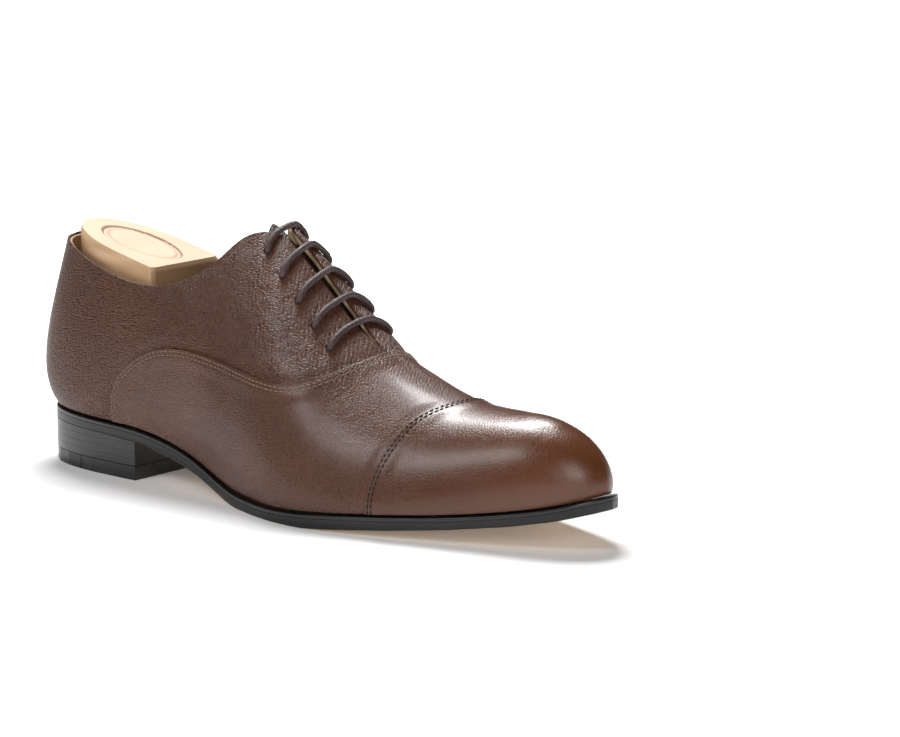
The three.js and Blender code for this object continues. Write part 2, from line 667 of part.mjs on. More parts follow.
function heelParts() {
  const level = (z) => () => z;
  const up = new THREE.Vector3(0, 0, 1);
  const parts = {};
  const base = heelSlab(level(0), level(TOP_PIECE_Z));
  const quarterTip = planPrism([[-70, -60], [4, -60], [-2, -20], [-5, 0], [-2, 20], [4, 60], [-70, 60]]);
  const tipRoom = planPrism([
    [-70, -60], [4 + GAP, -60], [-2 + GAP, -20], [-5 + GAP, 0], [-2 + GAP, 20], [4 + GAP, 60], [-70, 60],
  ]);
  const drills = nailPlaces()
    .map((place) => pegSolid(place, up, NAIL_RADIUS + GAP, -1, 5 + GAP, 8))
    .reduce((all, peg) => all.add(peg));
  parts.top_piece = base.subtract(tipRoom).subtract(drills);
  parts.heel_tip = base.intersect(quarterTip);
  nailPlaces().forEach((place, i) => {
    parts[`heel_nail_${i + 1}`] = pegSolid(place, up, NAIL_RADIUS, 0, 5, 8);
  });
  let floor = TOP_PIECE_Z + GAP;
  for (let i = 1; i <= 3; i += 1) {
    parts[`heel_lift_${i}`] = heelSlab(level(floor), level(floor + LIFT));
    floor += LIFT + GAP;
  }
  parts.heel_wedge = heelSlab(level(floor), (x) => treadZ(x) - GAP);
  return parts;
}

// --------------------------------------------------------------- the shoe tree
function treeForepart() {
  const body = skinBody(5.2);
  const region = sidePrism([
    [161, 16], [161, 90], [240, 90], [246, 60], [246, 34], [238, 24.5], [215, 18.5], [190, 15.2], [170, 14],
  ]);
  const slot = boxSolid(150, 176, -6.4, 6.4, 33.8, 100);
  const across = new THREE.Vector3(0, 1, 0);
  const pinHole = pegSolid(PIVOT, across, 2.3, -40, 40, 12);
  return body.intersect(region).subtract(slot).subtract(pinHole);
}

function latheAlongX(profile, sides) {
  const turned = [...profile].reverse().map(([x, r]) => new THREE.Vector2(r, x));
  const spun = new THREE.LatheGeometry(turned, sides);
  spun.rotateZ(-Math.PI / 2);
  return toSolid(spun.translate(0, PIVOT.y, PIVOT.z));
}

function treeArm() {
  const tube = latheAlongX([
    [PIVOT.x + 5, 0], [PIVOT.x + 5, ARM_RADIUS - 1], [PIVOT.x + 4, ARM_RADIUS], [ARM_FREE_X, ARM_RADIUS],
    [ARM_FREE_X, BORE_RADIUS], [BORE_END_X, BORE_RADIUS], [BORE_END_X, 0], [PIVOT.x + 5, 0],
  ], 12);
  return tube.subtract(pegSolid(PIVOT, new THREE.Vector3(0, 1, 0), 2.3, -12, 12, 12));
}

function treeSpring() {
  const from = ROD_END_X + GAP + 0.6;
  const to = BORE_END_X - GAP - 0.6;
  const turns = 5;
  const points = [];
  for (let i = 0; i <= turns * 8; i += 1) {
    const angle = (2 * Math.PI * i) / 8;
    const x = THREE.MathUtils.lerp(from, to, i / (turns * 8));
    points.push(new THREE.Vector3(x, 3.3 * Math.cos(angle), PIVOT.z + 3.3 * Math.sin(angle)));
  }
  const path = new THREE.CatmullRomCurve3(points);
  const settings = { steps: turns * 8, bevelEnabled: false, extrudePath: path };
  return toSolid(new THREE.ExtrudeGeometry(sectionShape(0.5, 5), settings));
}

function treeRod() {
  return latheAlongX([
    [BLOCK_FRONT_X - 16, 0], [ROD_END_X, 0], [ROD_END_X, ROD_RADIUS], [BLOCK_FRONT_X + 5, ROD_RADIUS],
    [BLOCK_FRONT_X + 5, 8.5], [BLOCK_FRONT_X + GAP, 8.5], [BLOCK_FRONT_X + GAP, ROD_RADIUS],
    [BLOCK_FRONT_X - 16, ROD_RADIUS], [BLOCK_FRONT_X - 16, 0],
  ], 12);
}

function blockTop(x) {
  return 100.2 - 0.234 * x;
}

function treeHeelBlock() {
  const heights = [0, 0.03, 0.28, 0.55, 0.74, 0.86, 0.975, 1];
  const widths = [15.5, 16.8, 19.6, 19.4, 19.2, 21.4, 21.7, 20.9];
  const backs = [0, 0, 0, 0.5, 0.9, 0.6, 0.6, 1.3];
  const length = BLOCK_FRONT_X - BLOCK_BACK_X;
  const block = warpBox(10, heights.length - 1, 2, (i, j, k) => {
    const t = 0.5 - 0.5 * Math.cos((Math.PI * i) / 10);
    const short = j === 0 || j === heights.length - 1 ? 0.9 : 0;
    const x = BLOCK_BACK_X + backs[j] + t * (length - backs[j] - short);
    const roundBack = Math.sqrt(1 - Math.max(0, 1 - t / 0.63) ** 2);
    const roundFront = 1 - 0.16 * Math.max(0, (t - 0.94) / 0.06);
    const y = (k - 1) * -widths[j] * roundBack * roundFront;
    const z = THREE.MathUtils.lerp(BLOCK_FLOOR_Z, blockTop(x), heights[j]);
    return new THREE.Vector3(x, y, z);
  });
  const oval = new THREE.Shape().absellipse(0, 0, 21.3, 12, 0, 2 * Math.PI);
  const recess = new THREE.ExtrudeGeometry(oval, { depth: 6, bevelEnabled: false, curveSegments: 10 });
  recess.rotateY(Math.atan(0.234)).translate(9, 0, blockTop(9) - 0.9);
  const bore = pegSolid(
    new THREE.Vector3(0, PIVOT.y, PIVOT.z), new THREE.Vector3(1, 0, 0),
    ROD_RADIUS + GAP, BLOCK_FRONT_X - 16 - GAP, BLOCK_FRONT_X + 9, 16,
  );
  return block.subtract(toSolid(recess)).subtract(bore);
}

function shoeTree() {
  return {
    tree_forepart: treeForepart(),
    tree_pivot_pin: pegSolid(PIVOT, new THREE.Vector3(0, 1, 0), 2, -13, 13, 12),
    tree_arm: treeArm(),
    tree_spring: treeSpring(),
    tree_rod: treeRod(),
    tree_heel_block: treeHeelBlock(),
  };
}

// -------------------------------------------------------------------- assembly
function lookOf(name) {
  const table = [
    [/^(toe_cap|vamp|quarter_(lateral|medial)|back_strap|tongue)$/, 'calf'],
    [/lining|heel_grip|sock_liner/, 'lining'],
    [/puff|counter|stay|insole/, 'stiffener'],
    [/shoelace|aglet/, 'lace'],
    [/welt|rand|lift|wedge|top_piece/, 'edge'],
    [/outsole/, 'sole'],
    [/cork/, 'cork'],
    [/heel_tip/, 'rubber'],
    [/eyelet|nail/, 'brass'],
    [/shank|pin|arm|spring|rod/, 'steel'],
  ];
  const found = table.find(([pattern]) => pattern.test(name));
  return LOOKS[found ? found[1] : 'wood'];
}

function assemble() {
  const solids = {
    ...upperLeathers(),
    ...stiffeners(),
    ...linings(),
    tongue: tongue(),
    ...eyelets(),
    ...lacing(),
    ...bottomParts(),
    ...heelParts(),
    ...shoeTree(),
  };
  const group = new THREE.Group();
  for (const [name, solid] of Object.entries(solids)) {
    const mesh = new THREE.Mesh(toGeometry(solid), new THREE.MeshStandardMaterial(lookOf(name)));
    mesh.name = name;
    group.add(mesh);
  }
  return group;
}

export default assemble();
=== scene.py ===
import math
import random

import bmesh
import bpy
import numpy as np
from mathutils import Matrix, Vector
from mathutils.kdtree import KDTree


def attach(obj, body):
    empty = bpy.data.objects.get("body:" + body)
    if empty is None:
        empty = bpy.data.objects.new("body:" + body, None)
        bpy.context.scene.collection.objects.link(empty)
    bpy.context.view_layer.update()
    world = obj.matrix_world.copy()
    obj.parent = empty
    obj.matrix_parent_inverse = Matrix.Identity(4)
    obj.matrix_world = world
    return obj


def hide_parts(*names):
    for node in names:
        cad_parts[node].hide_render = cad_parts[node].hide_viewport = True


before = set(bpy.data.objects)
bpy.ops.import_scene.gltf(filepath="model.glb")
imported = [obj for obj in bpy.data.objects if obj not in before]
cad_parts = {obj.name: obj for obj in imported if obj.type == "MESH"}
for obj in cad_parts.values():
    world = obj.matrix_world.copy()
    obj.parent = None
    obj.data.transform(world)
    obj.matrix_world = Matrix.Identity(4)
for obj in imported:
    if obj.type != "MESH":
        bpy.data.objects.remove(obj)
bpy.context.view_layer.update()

MM = 0.001
random.seed(7)

# ------------------------------------------------------------------ the last
# One section per row, from the feather edge to the top edge: fan angle, feather
# x y (lateral, medial), top edge x y z (lateral, medial), fullness (out, up,
# crown, shoulder) lateral and medial. Millimetres throughout.
STATIONS = np.array([
    [0, -31, 0, -31, 0, -27.5, 0, 99.6, -27.5, 0, 99.6, 12, 14, 8, 32, 12, 14, 8, 32],
    [38, -27, -16.5, -27, 15.5, -25.2, -11.5, 98.9, -25.2, 11.5, 98.9, 12, 14, 7.5, 32, 11.5, 14, 7.5, 32],
    [66, -12, -27, -12, 25.5, -11, -20.5, 95.2, -11, 20.5, 95.8, 8.5, 16, 7.5, 28, 8.5, 16, 7.5, 28],
    [84, 12, -30.8, 12, 29.3, 12, -25.5, 89, 12, 25.5, 90.2, 5, 18, 7, 24, 5, 18, 7, 24],
    [90, 40, -31.5, 40, 29, 39, -26.8, 85.8, 39, 27.2, 87.2, 4.5, 20, 7, 20, 6, 22, 8, 20],
    [90, 66, -32, 64, 25.5, 60, -24.6, 90.8, 60, 24.6, 92.3, 7, 22, 8, 18, 11, 24, 9, 18],
    [90, 84, -35, 83, 25, 75, -20, 101, 75, 20.5, 102.4, 10, 22, 9, 16, 15, 26, 9, 16],
    [90, 99, -39.5, 99, 27.3, 86, -13.5, 111, 86, 14, 112.4, 12, 22, 9, 14, 16, 26, 9, 14],
    [90, 110, -43.2, 111, 30.2, 95, -5.4, 111.4, 95, 4.2, 112.8, 11.5, 21, 17, 5, 15, 26, 16, 5],
    [90, 122, -46.8, 124, 33.8, 107, -4, 103.6, 107, 2.2, 104.2, 9, 19, 24, 2, 11, 24, 21, 2],
    [90, 135, -49.2, 138, 36.9, 123, -3.4, 89, 123, 1.8, 89.4, 6, 16, 29, 0.8, 7, 19, 25, 0.8],
    [90, 145, -49.5, 149, 38.4, 137.5, -2.8, 76, 137.5, 1.6, 76.2, 4.2, 13.4, 32, 0.4, 4.4, 16, 27, 0.4],
    [90, 154, -48.6, 160, 38.5, 150, -0.4, 67.4, 150, -0.4, 67.4, 3.5, 12.5, 33, 0.1, 3.5, 14, 27, 0.1],
    [90, 166, -46.2, 172, 37.2, 162, 0.4, 61.2, 162, 0.4, 61.2, 2.8, 12, 32, 0, 2.8, 13, 27, 0],
    [90, 181, -42.1, 187, 34.4, 179, 0.4, 54.8, 179, 0.4, 54.8, 2.5, 12, 30, 0, 2.5, 13, 26, 0],
    [90, 200, -36, 205, 30.2, 199, 0.4, 50.7, 199, 0.4, 50.7, 2.5, 12.5, 27, 0, 2.5, 13, 24, 0],
    [92, 220, -28.7, 223, 25.2, 220, 0.4, 50.2, 220, 0.4, 50.2, 2.5, 13, 23, 0, 2.5, 13, 21, 0],
    [110, 240, -20.8, 241, 19.4, 232, 0.4, 49.8, 232, 0.4, 49.8, 3, 12.5, 20, 0.6, 3, 12.5, 19, 0.6],
    [138, 255.6, -11.8, 256, 13, 235, 0.8, 49.4, 235, 0.8, 49.4, 3.5, 11.5, 19, 1.5, 3.5, 11.5, 18, 1.5],
    [160, 262.6, -4.4, 262.8, 7.4, 235, 0.8, 49.4, 235, 0.8, 49.4, 3.8, 11, 19, 2, 3.8, 11, 19, 2],
    [180, 264.8, 1.8, 264.8, 1.8, 235, 0.8, 49.4, 235, 0.8, 49.4, 4, 11, 19, 2.2, 4, 11, 19, 2.2],
])
CORNER_STATION = 8
SLIT_END_STATION = 12
POLE_STATION = 18
FEATHER_Z = [
    [-34, 25.4], [-10, 24.6], [15, 23.8], [38, 22.4], [60, 17.8], [72, 14], [85, 9.6], [98, 6.6],
    [110, 5.8], [135, 5.9], [160, 7.4], [185, 9.1], [210, 11.4], [235, 14.9], [252, 18.3], [270, 23.4],
]
TREAD_Z = [
    [-34, 19.3], [15, 18.2], [38, 16.9], [60, 11.9], [72, 8.2], [85, 4], [94, 1.4], [102, 0],
    [148, 0], [160, 0.9], [185, 3.1], [210, 5.6], [235, 9.1], [252, 12.3], [270, 17.1],
]
SOLE_MARGIN = [1, 1, 1, 1, 1, 1.1, 1.4, 1.7, 1.9, 2, 2, 2, 2, 2, 2, 2, 2.1, 2.3, 2.6, 2.8, 2.9]
WING_SEAM = [
    [152.6, 67], [151.2, 65.6], [148.3, 63.4], [143.8, 60.4], [137.2, 57], [129.7, 55.4],
    [115.6, 56.1], [95.4, 58.4], [76.9, 61], [59.4, 61.4], [46.3, 59], [34.4, 52.9], [25.5, 44.5],
    [20.8, 33.4], [20, 24],
]
CAP_SEAM = [
    [174.5, -60], [176.2, -43.4], [179.6, -34], [184.4, -21], [188.3, -13], [191.6, -4], [192.4, 2],
    [191.6, 9], [189.6, 20], [187, 29], [183.6, 35.4], [181, 60],
]
HOLES = [
    [96, 0.86, 94.2, 0.85], [107.6, 0.82, 106.2, 0.8], [118.4, 0.81, 117.2, 0.79],
    [128.4, 0.8, 127.6, 0.78], [137.6, 0.79, 137.4, 0.78],
]
MIDLINE = -0.9
HEEL_BREAST_X = 34.5
HOLE_RADIUS = 1.7
LEATHER = 1.2


# ------------------------------------------------------------------- splines
def natural_spline(knots, values):
    knots = np.asarray(knots, float)
    values = np.asarray(values, float).reshape(len(knots), -1)
    n = len(knots)
    h = np.diff(knots)
    system = np.eye(n)
    right = np.zeros_like(values)
    for i in range(1, n - 1):
        system[i, i - 1:i + 2] = h[i - 1], 2 * (h[i - 1] + h[i]), h[i]
        right[i] = 6 * ((values[i + 1] - values[i]) / h[i] - (values[i] - values[i - 1]) / h[i - 1])
    second = np.linalg.solve(system, right)

    def at(t):
        t = np.clip(np.atleast_1d(np.asarray(t, float)), knots[0], knots[-1])
        k = np.clip(np.searchsorted(knots, t, side="right") - 1, 0, n - 2)
        a = ((knots[k + 1] - t) / h[k])[:, None]
        b = 1 - a
        bend = (a**3 - a) * second[k] + (b**3 - b) * second[k + 1]
        return a * values[k] + b * values[k + 1] + bend * (h[k] ** 2)[:, None] / 6

    return at


def run_lengths(points):
    steps = np.linalg.norm(np.diff(np.asarray(points, float), axis=0), axis=1)
    return np.concatenate([[0], np.cumsum(steps)])


def smooth_path(points, step):
    """the natural spline through some points, in even steps"""
    runs = run_lengths(points)
    fine = natural_spline(runs, points)(np.linspace(0, runs[-1], 6 * len(points) + 200))
    return even_path(fine, step)


def even_path(points, step):
    points = np.asarray(points, float)
    runs = run_lengths(points)
    count = max(int(round(runs[-1] / step)), 2)
    wanted = np.linspace(0, runs[-1], count + 1)
    return np.stack([np.interp(wanted, runs, points[:, c]) for c in range(points.shape[1])], 1)


_feather = natural_spline([p[0] for p in FEATHER_Z], [p[1] for p in FEATHER_Z])


def feather_z(x):
    return _feather(x)[:, 0]


def tread_z(x):
    return np.interp(x, [p[0] for p in TREAD_Z], [p[1] for p in TREAD_Z])


def ease(x, low, high):
    t = np.clip((x - low) / (high - low), 0, 1)
    return t * t * (3 - 2 * t)


# --------------------------------------------------------------- the outer skin
def station_knots():
    runs = []
    for columns in ([1, 2], [3, 4], [5, 6, 7], [8, 9, 10]):
        run = run_lengths(STATIONS[:, columns])
        runs.append(run / run[-1])
    return np.mean(runs, axis=0)


KNOTS = station_knots()
SLIT_S = KNOTS[SLIT_END_STATION]
CORNER_S = KNOTS[CORNER_STATION]


class Side:
    def __init__(self, sign, columns):
        self.sign = sign
        self.row = natural_spline(KNOTS, STATIONS[:, [0] + columns])


LATERAL = Side(-1, [1, 2, 5, 6, 7, 11, 12, 13, 14])
MEDIAL = Side(1, [3, 4, 8, 9, 10, 15, 16, 17, 18])


def skin_point(side, s, v):
    row = side.row(s)
    fan = np.radians(row[:, 0])
    away = np.stack([-np.cos(fan), side.sign * np.sin(fan), np.zeros_like(fan)], 1)
    foot = np.column_stack([row[:, 1:3], feather_z(row[:, 1])])
    head = row[:, 3:6].copy()
    to_pole = (s - KNOTS[POLE_STATION - 1]) / (KNOTS[POLE_STATION] - KNOTS[POLE_STATION - 1])
    ahead = to_pole > 0
    before, pole = STATIONS[POLE_STATION - 1, 5:8], STATIONS[POLE_STATION, 5:8]
    head[ahead] = before + np.minimum(to_pole[ahead], 1)[:, None] * (pole - before)
    low = foot + away * row[:, 6:7]
    low[:, 2] += row[:, 7]
    high = head + away * row[:, 8:9]
    high[:, 2] -= row[:, 9]
    w = v[:, None]
    u = 1 - w
    return u**3 * foot + 3 * u * u * w * low + 3 * u * w * w * high + w**3 * head


POLE_SCALE = 20
POLE_REACH = 13
POLE_FLOOR_Z = 38


def unit(vectors):
    return vectors / np.maximum(np.linalg.norm(vectors, axis=-1, keepdims=True), 1e-12)


def raw_normal(side, s, v):
    e = 0.002
    along = skin_point(side, np.clip(s + e, 0, 1), v) - skin_point(side, np.clip(s - e, 0, 1), v)
    up = skin_point(side, s, np.clip(v + e, 0, 1)) - skin_point(side, s, np.clip(v - e, 0, 1))
    return unit(np.cross(along, up) * -side.sign)


def skin_normal(side, s, v):
    inward = np.minimum(s, KNOTS[POLE_STATION - 1] + 0.012)
    at = np.where(v > 0.999, inward, s)
    lowered = np.minimum(v, 0.985)
    normal = raw_normal(side, at, lowered)
    closed = (v > 0.999) & (s > SLIT_S - 1e-6)
    shared = closed | (s < 1e-6) | (s > 1 - 1e-6)
    other = MEDIAL if side is LATERAL else LATERAL
    normal[shared] += raw_normal(other, at[shared], lowered[shared])
    middle = shared & (~closed | (s > SLIT_S + 1e-6))
    normal[middle, 1] = 0
    return unit(normal)


def surface(s, q):
    """point and outward normal at a place along the shoe, s, and across it, q: from -1 at
    the lateral feather edge, over the top edge or ridge at 0, to 1 at the medial one"""
    s = np.asarray(s, float)
    q = np.asarray(q, float)
    points = np.empty((len(s), 3))
    normals = np.empty((len(s), 3))
    for side, mask in ((LATERAL, q <= 0), (MEDIAL, q > 0)):
        v = 1 - np.abs(q[mask])
        points[mask] = skin_point(side, s[mask], v)
        normals[mask] = skin_normal(side, s[mask], v)
    return level_pole(points, normals)


def cubic_terms(x, y):
    return np.stack([np.ones_like(x), x, y, x * x, x * y, y * y, x**3, x * x * y, x * y * y, y**3], 1)


def cubic_slopes(x, y):
    """the terms' slopes along x and along y"""
    zero = np.zeros_like(x)
    one = zero + 1
    along_x = [zero, one, zero, 2 * x, y, zero, 3 * x * x, 2 * x * y, y * y, zero]
    along_y = [zero, zero, one, zero, x, 2 * y, zero, x * x, 2 * x * y, 3 * y * y]
    return np.stack(along_x, 1), np.stack(along_y, 1)


def near_pole(points):
    """plan places about the toe pole, in units of its scale, and their distance from it"""
    pole = STATIONS[POLE_STATION, 5:8]
    return (points[:, :2] - pole[:2]) / POLE_SCALE, np.linalg.norm(points[:, :2] - pole[:2], axis=1)


def level_pole(points, normals):
    """the sections meet in one point on top of the toe: a smooth cap stands for them there"""
    plan, flat = near_pole(points)
    near = (flat < POLE_REACH) & (points[:, 2] > POLE_FLOOR_Z)
    if near.any():
        x, y = plan[near].T
        weight = ease(flat[near], POLE_REACH, 7)
        points[near, 2] += weight * (cubic_terms(x, y) @ POLE_FIT - points[near, 2])
        dx, dy = [(slope @ POLE_FIT) / POLE_SCALE for slope in cubic_slopes(x, y)]
        level = unit(np.stack([-dx, -dy, np.ones_like(dx)], 1))
        normals[near] = unit(normals[near] + weight[:, None] * (level - normals[near]))
    return points, normals


def fit_pole():
    rows, heights = [], []
    for side in (LATERAL, MEDIAL):
        s, v = np.meshgrid(np.linspace(0.8, 1, 160), np.linspace(0.3, 1, 120))
        points = skin_point(side, s.ravel(), v.ravel())
        plan, flat = near_pole(points)
        kept = (flat > 8) & (flat < 18) & (points[:, 2] > POLE_FLOOR_Z)
        rows.append(cubic_terms(*plan[kept].T))
        heights.append(points[kept, 2])
    return np.linalg.lstsq(np.concatenate(rows), np.concatenate(heights), rcond=None)[0]


POLE_FIT = fit_pole()


def find_along(side, x, v):
    low, high = 0.0, 1.0
    for _ in range(40):
        middle = (low + high) / 2
        if skin_point(side, np.array([middle]), np.array([v]))[0, 0] < x:
            low = middle
        else:
            high = middle
    return (low + high) / 2


# ---------------------------------------------------------- sheets of the skin
class Sheet:
    """a grid over the skin, kept as (field, s, q) so that a plane can cut it along a seam"""

    def __init__(self, s_values, *q_blocks):
        self.bm = bmesh.new()
        for q_values in q_blocks:
            rows = [[self.bm.verts.new((0, s, q)) for q in q_values] for s in s_values]
            for near, far in zip(rows, rows[1:]):
                for k in range(len(q_values) - 1):
                    self.bm.faces.new((near[k], near[k + 1], far[k + 1], far[k]))

    def places(self):
        data = np.array([v.co for v in self.bm.verts])
        return data[:, 1].astype(float), data[:, 2].astype(float)

    def set_field(self, values):
        for vert, value in zip(self.bm.verts, values):
            vert.co.x = value

    def cut(self, level, keep=0):
        for vert in self.bm.verts:
            if abs(vert.co.x - level) < 0.05:
                vert.co.x = level
        geometry = self.bm.verts[:] + self.bm.edges[:] + self.bm.faces[:]
        result = bmesh.ops.bisect_plane(
            self.bm, geom=geometry, dist=1e-5, plane_co=(level, 0, 0), plane_no=(1, 0, 0),
            clear_inner=keep > 0, clear_outer=keep < 0,
        )
        return [g for g in result["geom_cut"] if isinstance(g, bmesh.types.BMEdge)]

    def path(self, level):
        """the places along a level of the field, as the longest chain of edges"""
        return chain([(tuple(e.verts[0].co), tuple(e.verts[1].co)) for e in self.cut(level)])

    def finish(self):
        """welds what coincides and returns the places, points, normals and faces"""
        s, q = self.places()
        points, normals = surface(s, q)
        layers = [self.bm.verts.layers.float.new(name) for name in ("s", "q")]
        for i, vert in enumerate(self.bm.verts):
            vert[layers[0]] = s[i]
            vert[layers[1]] = q[i]
            vert.co = points[i]
        bmesh.ops.remove_doubles(self.bm, verts=self.bm.verts[:], dist=0.01)
        self.bm.verts.index_update()
        s = np.array([v[layers[0]] for v in self.bm.verts])
        q = np.array([v[layers[1]] for v in self.bm.verts])
        faces = [[v.index for v in f.verts] for f in self.bm.faces]
        self.bm.free()
        points, normals = surface(s, q)
        return {"s": s, "q": q, "points": points, "normals": normals, "faces": faces}


def chain(edges):
    links = {}
    for a, b in edges:
        links.setdefault(a, set()).add(b)
        links.setdefault(b, set()).add(a)
    best = []
    seen = set()
    for start in sorted(links, key=lambda p: (len(links[p]), p)):
        if start in seen:
            continue
        run = [start]
        seen.add(start)
        while True:
            following = [p for p in links[run[-1]] if p not in seen]
            if not following:
                break
            seen.add(following[0])
            run.append(following[0])
        if len(run) > len(best):
            best = run
    return np.array(best)[:, 1:3]


def path_distance(points, path):
    tree = KDTree(len(path))
    for i, p in enumerate(path):
        tree.insert(p, i)
    tree.balance()
    nearest = np.array([tree.find(p)[1] for p in points])
    best = np.full(len(points), np.inf)
    for step in (-1, 0):
        first = np.clip(nearest + step, 0, len(path) - 2)
        a, b = path[first], path[first + 1]
        t = np.clip(((points - a) * (b - a)).sum(1) / ((b - a) ** 2).sum(1), 0, 1)
        best = np.minimum(best, np.linalg.norm(points - a - t[:, None] * (b - a), axis=1))
    return best


def inside_outline(points, outline):
    inside = np.zeros(len(points), bool)
    x, y = points[:, 0], points[:, 1]
    for (x0, y0), (x1, y1) in zip(outline, np.roll(outline, -1, axis=0)):
        if y0 == y1:
            continue
        crosses = ((y0 > y) != (y1 > y)) & (x < (x1 - x0) * (y - y0) / (y1 - y0) + x0)
        inside ^= crosses
    return inside


def flat_distance(points, path):
    best = np.full(len(points), np.inf)
    for a, b in zip(path, path[1:]):
        t = np.clip(((points - a) @ (b - a)) / ((b - a) @ (b - a)), 0, 1)
        best = np.minimum(best, np.hypot(*(points - a - t[:, None] * (b - a)).T))
    return best


class Seam:
    """a seam drawn in side view or plan, carried onto the skin; positive on its upper piece"""

    def __init__(self, drawn, axes, closure, before=None, after=None):
        line = smooth_path(drawn, 2.0)
        if before is not None:
            line = np.concatenate([[before], line])
        if after is not None:
            line = np.concatenate([line, [after]])
        self.line = line
        self.axes = axes
        self.outline = np.concatenate([line, closure])
        sheet = Sheet(np.linspace(0.02, 1, 330), np.linspace(-1, 1, 181))
        s, q = sheet.places()
        points = surface(s, q)[0]
        flat = points[:, axes]
        near = np.where(inside_outline(flat, self.outline), 1, -1) * flat_distance(flat, line)
        sheet.set_field(near)
        places = sheet.path(0)
        sheet.bm.free()
        self.path = even_path(surface(places[:, 0], places[:, 1])[0], 0.4)

    def signed(self, points):
        sign = np.where(inside_outline(points[:, self.axes], self.outline), 1, -1)
        return sign * path_distance(points, self.path)


wing = Seam(WING_SEAM, [0, 2], [[320, 5], [320, 90]], before=[153.5, 90], after=[20, 5])
cap = Seam(CAP_SEAM, [0, 1], [[320, 60], [320, -60]])

edge_s = np.linspace(0, SLIT_S, 700)
TOP_EDGES = {
    LATERAL: even_path(skin_point(LATERAL, edge_s, np.ones_like(edge_s)), 0.4),
    MEDIAL: even_path(skin_point(MEDIAL, edge_s, np.ones_like(edge_s)), 0.4),
}


def hole_places():
    places = []
    for lateral_x, lateral_v, medial_x, medial_v in HOLES:
        for side, x, v in ((LATERAL, lateral_x, lateral_v), (MEDIAL, medial_x, medial_v)):
            s = find_along(side, x, v)
            at = np.array([s]), np.array([v])
            places.append({
                "side": side, "s": s, "v": v,
                "point": skin_point(side, *at)[0], "normal": skin_normal(side, *at)[0],
            })
    return places


HOLE_LIST = hole_places()


def hole_distance(points):
    best = np.full(len(points), np.inf)
    for hole in HOLE_LIST:
        best = np.minimum(best, np.linalg.norm(points - hole["point"], axis=1))
    return best


# ------------------------------------------------------------------ mesh making
def make_object(name, points, faces, material, body, crease=38, merge=0.004):
    """a mesh object from points in millimetres"""
    mesh = bpy.data.meshes.new(name)
    mesh.from_pydata((np.asarray(points, float) * MM).tolist(), [], [list(map(int, f)) for f in faces])
    bm = bmesh.new()
    bm.from_mesh(mesh)
    bmesh.ops.remove_doubles(bm, verts=bm.verts[:], dist=merge * MM)
    bmesh.ops.dissolve_degenerate(bm, edges=bm.edges[:], dist=1e-7)
    bmesh.ops.recalc_face_normals(bm, faces=bm.faces[:])
    for face in bm.faces:
        face.smooth = True
    limit = math.radians(crease)
    for edge in bm.edges:
        if len(edge.link_faces) == 2:
            edge.smooth = edge.calc_face_angle(0) < limit
    bm.to_mesh(mesh)
    bm.free()
    mesh.update()
    obj = bpy.data.objects.new(name, mesh)
    bpy.context.scene.collection.objects.link(obj)
    obj.data.materials.append(material)
    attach(obj, body)
    return obj


def shell_object(name, sheet, top, bottom, material, body, **settings):
    """closed body between two heights above the skin"""
    count = len(sheet["points"])
    upper = sheet["points"] + sheet["normals"] * top[:, None]
    lower = sheet["points"] + sheet["normals"] * bottom[:, None]
    used = {}
    for face in sheet["faces"]:
        for a, b in zip(face, face[1:] + face[:1]):
            used[(a, b)] = used.get((a, b), 0) + 1
    faces = list(sheet["faces"])
    faces += [[v + count for v in reversed(f)] for f in sheet["faces"]]
    for a, b in used:
        if (b, a) not in used:
            faces.append([b, a, a + count, b + count])
    return make_object(name, np.concatenate([upper, lower]), faces, material, body, **settings)


def rim(distance, radius):
    """the height lost to a rounded edge"""
    inner = np.clip(distance, 0, radius)
    return -radius + np.sqrt(np.maximum(radius**2 - (radius - inner) ** 2, 0))


def groove(distance, rows, depth=0.1, width=0.42):
    return -depth * sum(np.exp(-(((distance - row) / width) ** 2)) for row in rows)


# ------------------------------------------------------------------ the leathers
LAP = 0.4
SEAM_ROWS = (1.3, 2.9)
SEAM_SPLITS = (0.1, 0.3, 0.8, 1.3, 1.8, 2.4, 2.9, 3.4)
UNDER_LAP = 3.2


def over_lap(distance):
    """top and bottom heights of the upper piece of a seam"""
    near = 1 - ease(distance, 3.5, 9)
    top = LAP * near + rim(distance, 0.32) + groove(distance, SEAM_ROWS)
    bottom = -1.2 + (1.2 - 0.16) * (1 - ease(distance, 3.6, 9))
    return top, bottom


def under_lap(distance):
    """height of the lower piece; distance is negative on its own side"""
    return -LAP * (1 - ease(-distance, 0.4, 5.5))


def even(low, high, step):
    return np.linspace(low, high, max(int(round((high - low) / step)), 2) + 1)


def split_at(sheet, field, levels, keep_level=None, keep=0):
    s, q = sheet.places()
    sheet.set_field(field(s, q, surface(s, q)[0]))
    if keep_level is not None:
        sheet.cut(keep_level, keep)
    for level in levels:
        sheet.cut(level)


S_STEP = 0.0031
Q_STEP = 1 / 84
STRAP_HALF = 5.5
EDGE_SPLITS = (0.12, 0.35, 0.8, 1.5, 2.2)


def one_side(side, reach=1.0):
    """places across one side, from its top edge to a share of the way down"""
    return even(-reach, 0, Q_STEP) if side is LATERAL else np.maximum(even(0, reach, Q_STEP), 1e-6)


def both_sides(step=Q_STEP):
    return np.concatenate([even(-1, 0, step), even(0, 1, step)[1:]])


def feather_rim(q):
    return rim((1 - np.abs(q)) * 90, 0.9)


def leather_piece(name, data, top, bottom, material):
    """a piece of the upper, rounded at the feather edge and nowhere thinner than 0.2 mm"""
    top = top + feather_rim(data["q"])
    return shell_object(name, data, top, np.minimum(bottom, top - 0.2), material, "shoe")


